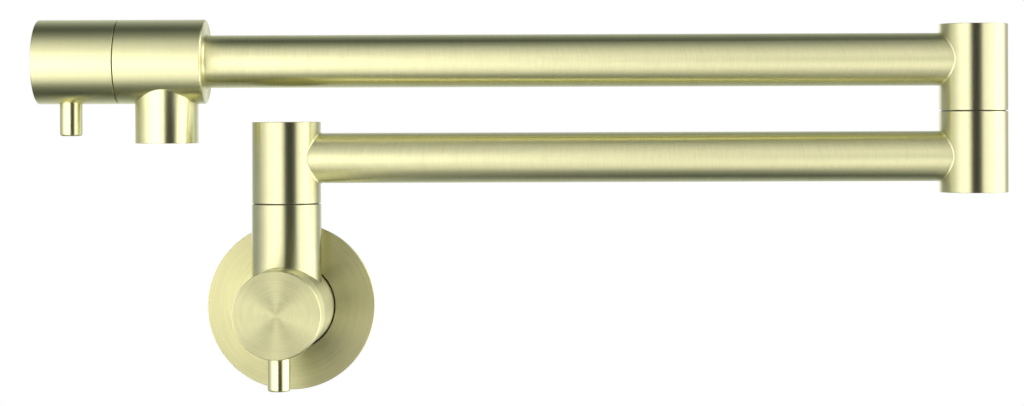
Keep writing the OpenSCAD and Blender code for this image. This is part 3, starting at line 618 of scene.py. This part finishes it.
@dataclass
class WallMount:
    """What holds the tap on the wall: flange, its ring and gasket, and the inlet nipple."""

    rim_rounding: float = 0.25
    rear_rounding: float = 0.2
    hole_rounding: float = 0.15
    undercut: float = 0.7
    hole_radius: float = 17.05
    groove_radius: float = 18.25
    groove: tuple[float, float] = (5.4, 7.2)
    pocket_radius: float = 30.5
    pocket_depth: float = 2.0
    ring_bore: float = 16.43
    gasket_bore: float = 24.45
    gasket_squareness: float = 0.8
    least_rounding: float = 0.1
    neck_radius: float = 9.5
    neck_rounding: float = 0.3
    bore_radius: float = 5.5
    thread_pitch: float = 1.814
    thread_depth: float = 1.162
    thread_crest: float = 0.08
    thread_flank: float = 0.84
    rings_per_pitch: int = 10

    def build(self) -> None:
        """Build all four pieces."""
        self._flange()
        self._rubber("flange_ring", "body_foot_ring", self.ring_bore, 0.0)
        self._rubber("flange_gasket", "wall_gasket", self.gasket_bore, self.gasket_squareness)
        self._nipple()

    def _flange(self) -> None:
        """The round flange, with its turned face."""
        low, high = node_box("wall_flange")
        thickness, rim = -low.y, high.x
        flange = Lathe(OUT_OF_WALL, steps=192).turn("flange", [
            Corner(0, self.pocket_radius), Corner(0, rim - self.undercut, self.rear_rounding),
            Corner(thickness, rim, self.rim_rounding),
            Corner(thickness, self.hole_radius, self.hole_rounding),
            Corner(self.groove[1], self.hole_radius), Corner(self.groove[1], self.groove_radius),
            Corner(self.groove[0], self.groove_radius), Corner(self.groove[0], self.hole_radius),
            Corner(self.pocket_depth, self.hole_radius), Corner(self.pocket_depth, self.pocket_radius),
        ])
        place(flange, Body.WALL_VALVE, "wall_flange", GOLD, faced=OUT_OF_WALL.along)

    def _rubber(self, node: str, name: str, bore: float, squareness: float) -> None:
        """Turn a rubber ring that fills its node's box, with rounded edges.

        Args:
            node: The CAD node that it stands for.
            name: The piece's name.
            bore: Its inner radius.
            squareness: 0 for a round section, up to 1 for a square one.
        """
        low, high = node_box(node)
        section = min(-low.y + high.y, high.x - bore)
        rounding = max(self.least_rounding, (1 - squareness) * section / 2 * NEARLY)
        ring = Lathe(OUT_OF_WALL).turn(name, [
            Corner(-high.y, bore, rounding), Corner(-high.y, high.x, rounding),
            Corner(-low.y, high.x, rounding), Corner(-low.y, bore, rounding),
        ])
        place(ring, Body.WALL_VALVE, node, STOCK[Slot.RUBBER])

    def _nipple(self) -> None:
        """The inlet nipple, with its real helical thread."""
        low, high = node_box("inlet_nipple")
        start, end, shoulder = -high.y, -low.y, self.pocket_depth
        lathe = Lathe(OUT_OF_WALL, steps=96)
        rings = [lathe.ring(start, self.bore_radius)]
        count = round((shoulder - start) / self.thread_pitch * self.rings_per_pitch)
        for k in range(count + 1):
            along = start + (shoulder - start) * k / count
            turn = (along / self.thread_pitch - lathe.angles / (2 * math.pi)) % 1
            flank = (np.abs(turn - 0.5) * 2 - self.thread_crest) / self.thread_flank
            depth = np.clip(flank, 0, 1) * self.thread_depth
            lead_in = min(1.0, (along - start) / self.thread_pitch)
            depth = np.maximum(depth, (1 - lead_in) * self.thread_depth)
            ring = lathe.ring(along, high.x)
            ring.points -= depth[:, None] * lathe.axle.spokes(lathe.angles)
            rings.append(ring)
        rings += lathe.outline([
            Corner(shoulder, self.neck_radius), Corner(end, self.neck_radius, self.neck_rounding),
            Corner(end, self.bore_radius),
        ])
        nipple = lathe.build("inlet_nipple_threaded", rings)
        place(nipple, Body.WALL_VALVE, "inlet_nipple", STOCK[Slot.RAW_BRASS])


@dataclass
class Cartridge:
    """The bores that a valve body has for its cartridge, from its front face inwards."""

    recess_radius: float = 14.2
    recess_depth: float = 3.0
    thread_radius: float = 10.65
    thread_depth: float = 10.5
    chamber_radius: float = 9.7
    seat_depth: float = 25.0
    hole_radius: float = 5.5
    wall: float = 3.0

    def corners(self, face: float, socket_radius: float) -> list[Corner]:
        """The outline of the bores, from the front face to the socket behind the seat.

        Args:
            face: Place of the front face along the body's axle.
            socket_radius: Radius of the socket behind the seat.

        Returns:
            The corners.
        """
        recess, thread, seat = face - self.recess_depth, face - self.thread_depth, face - self.seat_depth
        return [
            Corner(face, self.recess_radius), Corner(recess, self.recess_radius),
            Corner(recess, self.thread_radius), Corner(thread, self.thread_radius),
            Corner(thread, self.chamber_radius), Corner(seat, self.chamber_radius),
            Corner(seat, self.hole_radius), Corner(seat - self.wall, self.hole_radius),
            Corner(seat - self.wall, socket_radius),
        ]


@dataclass
class Branch:
    """A pipe that stands on a round body, with a fillet at its foot and a bore."""

    radius: float
    bore_radius: float
    thread_radius: float
    thread_depth: float
    length: float
    fillet: float
    foot_depth: float = 2.0
    edge_rounding: float = 0.2
    mouth_rounding: float = 0.15

    def build(self, name: str, axle: Axle, round_radius: float) -> bpy.types.Object:
        """Turn the pipe, its foot let into the round body.

        Args:
            name: The piece's name.
            axle: From the round body's axis outwards, with its zero angle square to that axis.
            round_radius: Radius of the round body.

        Returns:
            The pipe.
        """
        lathe = Lathe(axle)
        rings = lathe.foot(self.bore_radius, self.radius, round_radius - self.foot_depth, round_radius,
                           self.fillet)
        rings += lathe.outline([
            Corner(round_radius + self.fillet, self.radius),
            Corner(self.length, self.radius, self.edge_rounding),
            Corner(self.length, self.thread_radius, self.mouth_rounding),
            Corner(self.length - self.thread_depth, self.thread_radius),
            Corner(self.length - self.thread_depth, self.bore_radius),
        ])[1:]
        return lathe.build(name, rings)


@dataclass
class Handle:
    """A round knob that turns, with a pin lever in its side."""

    knob_node: str
    lever_node: str
    body: Body
    axle: Axle
    cavity_depth: float
    stem_depth: float
    cavity_radius: float = 14.2
    stem_radius: float = 4.0
    rear_rounding: float = 0.2
    face_rounding: float = 0.6
    lever_end_rounding: float = 1.0
    lever_seat_depth: float = 1.55
    shank_radius: float = 2.5

    def build(self) -> None:
        """Build the knob, hollow behind with a turned face, and its pin lever, whose shank is inside it."""
        knob_low, knob_high = node_box(self.knob_node)
        length = abs((knob_high - knob_low).dot(self.axle.along))
        radius = (knob_high.z - knob_low.z) / 2
        knob = Lathe(self.axle).turn(self.knob_node + "_turned", [
            Corner(self.stem_depth, 0), Corner(self.stem_depth, self.stem_radius),
            Corner(self.cavity_depth, self.stem_radius), Corner(self.cavity_depth, self.cavity_radius),
            Corner(0, self.cavity_radius), Corner(0, radius, self.rear_rounding),
            Corner(length, radius, self.face_rounding), Corner(length, 0),
        ])
        place(knob, self.body, self.knob_node, GOLD, faced=self.axle.along)
        low, high = node_box(self.lever_node)
        centre = (low + high) / 2
        axle = Axle(Vector((centre.x, centre.y, (knob_low.z + knob_high.z) / 2)), -Z_AXIS, X_AXIS)
        seat = radius - self.lever_seat_depth
        pin, start, end = (high.x - low.x) / 2, axle.origin.z - high.z, axle.origin.z - low.z
        lever = Lathe(axle, steps=96).turn(self.lever_node + "_turned", [
            Corner(start, 0), Corner(start, self.shank_radius),
            Corner(seat, self.shank_radius), Corner(seat, pin),
            Corner(end, pin, self.lever_end_rounding), Corner(end, 0),
        ])
        place(lever, self.body, self.lever_node, GOLD)


@dataclass
class WallValve:
    """The valve that comes out of the wall, in one piece with its riser."""

    body_radius: float = 16.4
    riser_out: float = 22.0
    edge_rounding: float = 0.2
    neck_radius: float = 9.55
    cavity_depth: float = 2.2
    stem_depth: float = 10.0
    bores: Cartridge = field(default_factory=Cartridge)
    riser: Branch = field(default_factory=lambda: Branch(
        radius=13.15, bore_radius=6.5, thread_radius=8.55, thread_depth=10.0, length=39.85, fillet=0.4))

    def build(self) -> None:
        """Build the body with its riser, and the knob with its lever."""
        low, high = node_box("valve_body")
        up = Axle(Vector((0, -self.riser_out, 0)), Z_AXIS, X_AXIS)
        body = Lathe(OUT_OF_WALL, steps=160).turn("valve_body_with_riser", [
            Corner(-high.y, self.neck_radius), Corner(-high.y, self.body_radius, self.edge_rounding),
            Corner(-low.y, self.body_radius, self.edge_rounding),
            *self.bores.corners(-low.y, self.neck_radius),
        ])
        body = merge(body, self.riser.build("riser", up, self.body_radius))
        # The body takes the darker upright copy of the gold, whose colour is painted shade
        place(body, Body.WALL_VALVE, "valve_body", GOLD_UPRIGHT_PAINTED_SHADE)
        _, knob_high = node_box("wall_knob")
        Handle("wall_knob", "wall_lever", Body.WALL_HANDLE, OUT_OF_WALL.shifted(-knob_high.y),
               self.cavity_depth, self.stem_depth).build()


@dataclass
class Swivel:
    """One swivel joint's outside: a collar with its cap, or a blind collar."""

    collar_node: str
    body: Body
    centre: Vector
    cap_node: str = ""
    edge_rounding: float = 0.2
    lip_bore_radius: float = 8.55
    lip_rounding: float = 0.15
    bush_radius: float = 9.85
    bush_from: float = 6.7
    lip_height: float = 9.75
    chamber_radius: float = 10.65
    cap_seat_radius: float = 11.3
    cap_thickness: float = 2.5
    cap_rounding: float = 0.12
    floor: float = 3.0

    def build(self) -> None:
        """Build the collar, and its cap if it has one."""
        low, high = node_box(self.collar_node)
        height, radius = high.z - low.z, (high.x - low.x) / 2
        lathe = Lathe(Axle(Vector((self.centre.x, self.centre.y, low.z)), Z_AXIS, X_AXIS))
        side = [Corner(0, radius, self.edge_rounding), Corner(height, radius, self.edge_rounding)]
        under_cap = height - self.cap_thickness
        if self.cap_node:
            corners = [
                Corner(0, self.lip_bore_radius),
                *side,
                Corner(height, self.cap_seat_radius), Corner(under_cap, self.cap_seat_radius),
                Corner(under_cap, self.chamber_radius), Corner(self.lip_height, self.chamber_radius),
                Corner(self.lip_height, self.bush_radius), Corner(self.bush_from, self.bush_radius),
                Corner(self.bush_from, self.lip_bore_radius),
            ]
            cap_low, cap_high = node_box(self.cap_node)
            cap_radius = (cap_high.x - cap_low.x) / 2
            cap = lathe.turn(self.cap_node + "_turned", [
                Corner(under_cap, 0), Corner(under_cap, cap_radius),
                Corner(height, cap_radius, self.cap_rounding), Corner(height, 0),
            ])
            # The cap takes the darker upright copy of the gold, whose colour is painted shade
            place(cap, self.body, self.cap_node, GOLD_UPRIGHT_PAINTED_SHADE)
        else:
            corners = [
                Corner(0, 0),
                *side,
                Corner(height, self.lip_bore_radius, self.lip_rounding),
                Corner(self.floor, self.lip_bore_radius), Corner(self.floor, 0),
            ]
        collar = lathe.turn(self.collar_node + "_turned", corners)
        # The collar takes the darker upright copy of the gold, whose colour is painted shade
        place(collar, self.body, self.collar_node, GOLD_UPRIGHT_PAINTED_SHADE)


@dataclass
class Arm:
    """A tube of the arm, with a fillet where it meets what carries it."""

    name: str
    node: str
    body: Body
    wall: float = 1.5
    cope_radius: float = 11.35
    fillet: float = 0.7
    root_fillet: float = 1.0
    root_lead_in: float = 0.5
    root_run: float = 3.0

    def build(self, start: float, end: float, collar_radius: float, is_in_flat: bool = False) -> None:
        """Turn the tube.

        Args:
            start: X of the collar's axis at the tube's start, or of the flat face that it is let into.
            end: X of the collar's axis at its end.
            collar_radius: Radius of the collars.
            is_in_flat: True where it starts in a flat face.
        """
        low, high = node_box(self.node)
        centre, radius = (low + high) / 2, (high.z - low.z) / 2
        lathe = Lathe(Axle(Vector((0, centre.y, centre.z)), X_AXIS, Y_AXIS), steps=112)
        bore = radius - self.wall
        if is_in_flat:
            rings = lathe.outline([
                Corner(low.x, bore), Corner(low.x, radius),
                Corner(start - self.root_lead_in, radius), Corner(start, radius + self.root_fillet),
                Corner(start, radius, self.root_fillet * NEARLY), Corner(start + self.root_run, radius),
            ])
        else:
            rings = lathe.foot(bore, radius, self.cope_radius, collar_radius, self.fillet, start)
        rings += lathe.foot(bore, radius, self.cope_radius, collar_radius, self.fillet, end, side=-1)
        # The tube takes the brighter copy of the gold, whose colour is painted light
        place(lathe.build(self.name, rings), self.body, self.node, GOLD_TUBE_PAINTED_LIGHT)


@dataclass
class Outlet:
    """The outlet valve, in one piece with its down-turned spout, and the aerator in its mouth."""

    body_radius: float = 16.0
    edge_rounding: float = 0.2
    root_rounding: float = 0.8
    socket_radius: float = 10.05
    cavity_depth: float = 12.15
    stem_depth: float = 23.0
    bores: Cartridge = field(default_factory=Cartridge)
    spout: Branch = field(default_factory=lambda: Branch(
        radius=11.95, bore_radius=7.0, thread_radius=10.55, thread_depth=10.0, length=30.9, fillet=0.5))
    aerator_bore: float = 9.3
    aerator_lip_radius: float = 8.3
    aerator_lip: float = 0.8
    aerator_rounding: float = 0.2
    aerator_rim_rounding: float = 0.25

    def build(self) -> None:
        """Build the body with its spout, the aerator's ring, and the knob with its lever."""
        low, high = node_box("outlet_body")
        aerator_low, aerator_high = node_box("aerator_housing")
        centre_y, centre_z = (low.y + high.y) / 2, high.z - self.body_radius
        spout_x = (aerator_low.x + aerator_high.x) / 2
        root = Axle(Vector((high.x, centre_y, centre_z)), -X_AXIS, Y_AXIS)
        down = Axle(Vector((spout_x, centre_y, centre_z)), -Z_AXIS, Y_AXIS)
        length = high.x - low.x
        body = Lathe(root, steps=160).turn("outlet_body_with_spout", [
            Corner(0, self.socket_radius), Corner(0, self.body_radius, self.root_rounding),
            Corner(length, self.body_radius, self.edge_rounding),
            *self.bores.corners(length, self.socket_radius),
        ])
        body = merge(body, self.spout.build("spout", down, self.body_radius))
        place(body, Body.UPPER_ARM, "outlet_body", GOLD)
        self._aerator(down, aerator_low, aerator_high)
        _, knob_high = node_box("outlet_knob")
        Handle("outlet_knob", "outlet_lever", Body.OUTLET_HANDLE, root.shifted(high.x - knob_high.x),
               self.cavity_depth, self.stem_depth).build()

    def _aerator(self, down: Axle, low: Vector, high: Vector) -> None:
        """The threaded ring that holds the flow straightener.

        Args:
            down: The spout's axle.
            low: Lowest corner of the ring's node.
            high: Highest corner of the ring's node.
        """
        mouth, back, radius = down.origin.z - low.z, down.origin.z - high.z, (high.x - low.x) / 2
        ring = Lathe(down, steps=96).turn("aerator_ring", [
            Corner(back, self.aerator_bore), Corner(back, radius, self.aerator_rounding),
            Corner(mouth, radius, self.aerator_rim_rounding),
            Corner(mouth, self.aerator_lip_radius, self.aerator_rounding),
            Corner(mouth - self.aerator_lip, self.aerator_lip_radius),
            Corner(mouth - self.aerator_lip, self.aerator_bore),
        ])
        place(ring, Body.UPPER_ARM, "aerator_housing", GOLD)


@dataclass
class CarriedOver:
    """The CAD nodes that stay as they are and only get their material, by the end of their name."""

    endings: dict[Slot, tuple[str, ...]] = field(default_factory=lambda: {
        Slot.RUBBER: ("_rings", "_ring", "_seal", "aerator_washer"),
        Slot.DARK_WASHER: ("_washer",),
        Slot.BEARING_PLASTIC: ("_bush", "stop_ring"),
        Slot.CERAMIC: ("_disc",),
        Slot.STEEL: ("_screw",),
        Slot.AERATOR_PLASTIC: ("aerator_insert",),
        Slot.RAW_BRASS: ("_spigot", "_shell", "_spindle"),
    })

    def dress(self) -> None:
        """Give every shown CAD node the material of its kind, by the longest ending that it has."""
        for name, node in sorted(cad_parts.items()):
            if node.hide_render:
                continue
            fits = {len(ending): slot for slot, endings in self.endings.items()
                    for ending in endings if name.endswith(ending)}
            slot = fits[max(fits)]
            node.data.materials.clear()
            node.data.materials.append(paint(STOCK[slot]))
            log.info("%s keeps its CAD shape, in %s", name, slot.value)


@dataclass(frozen=True)
class Viewpoint:
    """The camera, square to the wall, from what the photograph shows of it."""

    image_width: int = 1024
    image_height: int = 406
    ahead_column: float = 597.0
    ahead_row: float = 110.0
    riser_column: float = 286.2
    pixels_to_arms: float = 2537.0
    pixel: float = 0.38
    height: float = 75.15
    roll: float = math.radians(0.195)
    sensor: float = 36.0
    sees_to: float = 50.0

    def build(self) -> None:
        """Make the camera and use it."""
        data = bpy.data.cameras.new("camera")
        camera = bpy.data.objects.new("camera", data)
        bpy.context.scene.collection.objects.link(camera)
        data.sensor_width = self.sensor
        data.lens = self.pixels_to_arms / self.image_width * self.sensor
        data.shift_x = (self.image_width / 2 - self.ahead_column) / self.image_width
        data.shift_y = (self.ahead_row - self.image_height / 2) / self.image_width
        data.clip_end = self.sees_to
        camera.location = self.place() * MM
        camera.rotation_euler = (math.pi / 2, self.roll, 0)
        bpy.context.scene.camera = camera

    def place(self) -> Vector:
        """Find where the camera stands.

        Returns:
            The place, in millimetres.
        """
        low, high = node_box("lower_arm_tube")
        arms = (low.y + high.y) / 2
        return Vector(((self.ahead_column - self.riser_column) * self.pixel,
                       arms - self.pixels_to_arms * self.pixel, self.height))


def levels(stops: Stops) -> Stops:
    """A dataclass field that holds a ramp's levels by factor."""
    return field(default_factory=lambda: stops)


@dataclass
class Flag:
    """A tall dark card beside the camera, with soft edges, which the metal reflects as a dark band."""

    near_edge: tuple[float, float] = (17.0, -973.0)
    far_edge: tuple[float, float] = (500.0, -598.0)
    before: float = 900.0
    length: float = 2000.0
    bottom: float = -4000.0
    top: float = 5000.0
    felt: Colour = (0.062, 0.071, 0.065)
    cover: Stops = levels({
        0.0: 0.0, 0.104: 0.06, 0.2825: 0.22, 0.355: 0.4, 0.42: 0.58, 0.455: 1.0, 0.73: 1.0, 0.78: 0.2,
        0.84: 0.12, 0.92: 0.05, 1.0: 0.0})

    def build(self) -> None:
        """Stand the card up, from its soft start past its soft end."""
        near, far = Vector((*self.near_edge, 0)), Vector((*self.far_edge, 0))
        way = (far - near).normalized()
        centre = near + way * (self.length / 2 - self.before)
        centre.z = (self.top + self.bottom) / 2
        bpy.ops.mesh.primitive_plane_add(size=1)
        flag = bpy.context.object
        flag.name = "flag"
        flag.scale = (self.length * MM, (self.top - self.bottom) * MM, 1)
        flag.rotation_euler = (math.pi / 2, 0, math.atan2(way.y, way.x))
        flag.location = centre * MM
        flag.data.materials.append(self._material())
        flag.visible_camera = False

    def _material(self) -> bpy.types.Material:
        """Dark felt that thins out towards both edges.

        Returns:
            The material.
        """
        made = bpy.data.materials.new("flag")
        shader = Shader(made)
        space = shader.node("ShaderNodeTexCoord")
        split = shader.node("ShaderNodeSeparateXYZ", space.outputs["Object"])
        share = shader.share(split.outputs["X"], HALF)
        felt = shader.node("ShaderNodeBsdfDiffuse", Color=(*self.felt, 1))
        clear = shader.node("ShaderNodeBsdfTransparent")
        choose = shader.node("ShaderNodeMixShader", shader.ramp(share, self.cover),
                             clear.outputs[0], felt.outputs[0])
        shader.node("ShaderNodeOutputMaterial", choose.outputs[0])
        return made


@dataclass
class Studio:
    """A pale floor and soft light from all round, with little of it from above, from below or from behind.

    The light varies with the way round the tap and with the tilt up or down the front. From the left it
    is strongest at eye level, and from the right above and below that.
    """

    level: float = 4.05
    light_tint: Colour = (1.0, 0.985, 1.0)
    shade_tint: Colour = (0.84, 0.95, 0.93)
    lit_share: float = 3.0
    by_turn: Stops = levels({
        0.0: 0.5, 0.025: 0.75, 0.05: 0.8, 0.08: 0.75, 0.1: 0.4, 0.125: 0.2, 0.163: 0.15, 0.215: 0.17,
        0.25: 0.25, 0.29: 0.37, 0.325: 0.54, 0.355: 0.66, 0.39: 0.74, 0.44: 0.8, 0.5: 0.81, 0.6: 0.74,
        0.65: 0.76, 0.685: 0.83, 0.715: 0.91, 0.75: 0.98, 0.785: 0.96, 0.81: 0.76, 0.83: 0.5, 0.86: 0.29,
        0.885: 0.29, 0.915: 0.45, 0.955: 0.62, 0.98: 0.52, 1.0: 0.5})
    by_tilt: Stops = levels({
        0.0: 0.45, 0.06: 0.3, 0.14: 0.165, 0.19: 0.1, 0.24: 0.065, 0.272: 0.09, 0.306: 0.21, 0.336: 0.5,
        0.367: 0.85, 0.394: 0.99, 0.422: 1.0, 0.447: 1.0, 0.475: 0.99, 0.5: 0.95, 0.525: 0.88, 0.553: 0.81,
        0.578: 0.75, 0.606: 0.69, 0.633: 0.61, 0.664: 0.46, 0.694: 0.28, 0.728: 0.12, 0.765: 0.07,
        0.81: 0.08, 0.86: 0.13, 0.94: 0.27, 1.0: 0.45})
    by_height: Stops = levels({
        0.0: 0.08, 0.07: 0.3, 0.15: 0.6, 0.25: 0.85, 0.35: 1.0, 0.6: 1.0, 0.75: 0.8, 0.85: 0.55, 0.93: 0.3,
        1.0: 0.08})
    side_share: Stops = levels({0.0: 1.0, 0.07: 1.0, 0.22: 0.0, 0.78: 0.0, 0.93: 1.0, 1.0: 1.0})
    left_share: Stops = levels({0.0: 0.0, 0.15: 0.0, 0.22: 1.0, 0.44: 1.0, 0.5: 0.0, 1.0: 0.0})
    left_by_height: Stops = levels({
        0.0: 0.55, 0.2: 0.6, 0.3: 0.8, 0.4: 1.0, 0.6: 1.0, 0.7: 0.8, 0.8: 0.6, 1.0: 0.55})
    right_share: Stops = levels({0.0: 0.0, 0.5: 0.0, 0.58: 1.0, 0.8: 1.0, 0.9: 0.0, 1.0: 0.0})
    right_by_height: Stops = levels({
        0.0: 1.0, 0.3: 1.0, 0.42: 0.68, 0.5: 0.53, 0.58: 0.68, 0.7: 1.0, 1.0: 1.0})
    floor_height: float = -3200.0
    floor_size: float = 20000.0
    floor_share: float = 0.8
    floor_glow: float = 1.17
    floor_colour: Colour = (0.8, 0.8, 0.8)
    white: Colour = (1.0, 1.0, 1.0)

    def build(self) -> None:
        """Build the studio."""
        bpy.context.scene.view_settings.view_transform = "Standard"
        self._world()
        self._floor()
        Flag().build()

    def _world(self) -> None:
        """Light that depends only on its direction in the room, and white for the camera."""
        world = bpy.data.worlds.new("studio")
        bpy.context.scene.world = world
        shader = Shader(world)
        light = shader.node("ShaderNodeBackground", self._light(shader), Strength=self.level)
        white = shader.node("ShaderNodeBackground", Color=(*self.white, 1), Strength=1.0)
        path = shader.node("ShaderNodeLightPath")
        choose = shader.node("ShaderNodeMixShader", path.outputs["Is Camera Ray"], light.outputs[0],
                             white.outputs[0])
        shader.node("ShaderNodeOutputWorld", choose.outputs[0])

    def _light(self, shader: Shader) -> Socket:
        """Work out the light's colour from its direction.

        Args:
            shader: The world's tree.

        Returns:
            The colour's socket.
        """
        way = shader.node("ShaderNodeTexCoord")
        split = shader.node("ShaderNodeSeparateXYZ", way.outputs["Generated"])
        right, rise = split.outputs["X"], split.outputs["Z"]
        front = shader.calculate("MULTIPLY", split.outputs["Y"], -1.0)
        turn = shader.share(shader.calculate("ARCTAN2", right, front), math.pi)
        tilt = shader.share(shader.calculate("ARCTAN2", rise, front), math.pi)
        height, side = shader.share(rise, 1.0), shader.share(right, 1.0)
        upright = shader.mix(shader.ramp(side, self.side_share), shader.ramp(tilt, self.by_tilt),
                             shader.ramp(height, self.by_height))
        level = shader.calculate("MULTIPLY", upright, shader.ramp(turn, self.by_turn))
        for share, by_height in ((self.left_share, self.left_by_height),
                                 (self.right_share, self.right_by_height)):
            one_side = shader.mix(shader.ramp(turn, share), 1.0, shader.ramp(height, by_height))
            level = shader.calculate("MULTIPLY", level, one_side)
        lit = shader.calculate("MULTIPLY", level, self.lit_share)
        colour = shader.node("ShaderNodeVectorMath", shader.mix(lit, self.shade_tint, self.light_tint),
                             settings={"operation": "SCALE"}, Scale=level)
        return colour.outputs[0]

    def _floor(self) -> None:
        """A pale floor well below the tap, white to the camera but for the tap's shadow."""
        bpy.ops.mesh.primitive_plane_add(size=self.floor_size * MM)
        floor = bpy.context.object
        floor.name = "floor"
        floor.location = (0, 0, self.floor_height * MM)
        made = bpy.data.materials.new("floor")
        shader = Shader(made)
        matt = shader.node("ShaderNodeBsdfDiffuse", Color=(*self.floor_colour, 1))
        glow = shader.node("ShaderNodeEmission", Color=(*self.white, 1), Strength=self.floor_glow)
        path = shader.node("ShaderNodeLightPath")
        share = shader.calculate("MULTIPLY", path.outputs["Is Camera Ray"], self.floor_share)
        choose = shader.node("ShaderNodeMixShader", share, matt.outputs[0], glow.outputs[0])
        shader.node("ShaderNodeOutputMaterial", choose.outputs[0])
        floor.data.materials.append(made)
        floor.visible_glossy = False
        floor.visible_shadow = False


def main() -> None:
    """Build the camera, the studio and every sub-assembly in order."""
    logging.basicConfig(level=logging.INFO, format="%(message)s")
    Viewpoint().build()
    Studio().build()
    WallMount().build()
    valve = WallValve()
    valve.build()
    elbow_low, elbow_high = node_box("elbow_lower_collar")
    elbow_x = (elbow_low.x + elbow_high.x) / 2
    collar_radius = (elbow_high.x - elbow_low.x) / 2
    shoulder, elbow = Vector((0, -valve.riser_out, 0)), Vector((elbow_x, -valve.riser_out, 0))
    Swivel("shoulder_collar", Body.LOWER_ARM, shoulder, "shoulder_cap").build()
    Swivel("elbow_lower_collar", Body.LOWER_ARM, elbow).build()
    Swivel("elbow_upper_collar", Body.UPPER_ARM, elbow, "elbow_cap").build()
    Arm("lower_tube", "lower_arm_tube", Body.LOWER_ARM).build(0.0, elbow_x, collar_radius)
    _, outlet_high = node_box("outlet_body")
    Arm("upper_tube", "upper_arm_tube", Body.UPPER_ARM).build(outlet_high.x, elbow_x, collar_radius,
                                                              is_in_flat=True)
    Outlet().build()
    CarriedOver().dress()


if __name__ == "__main__":
    main()
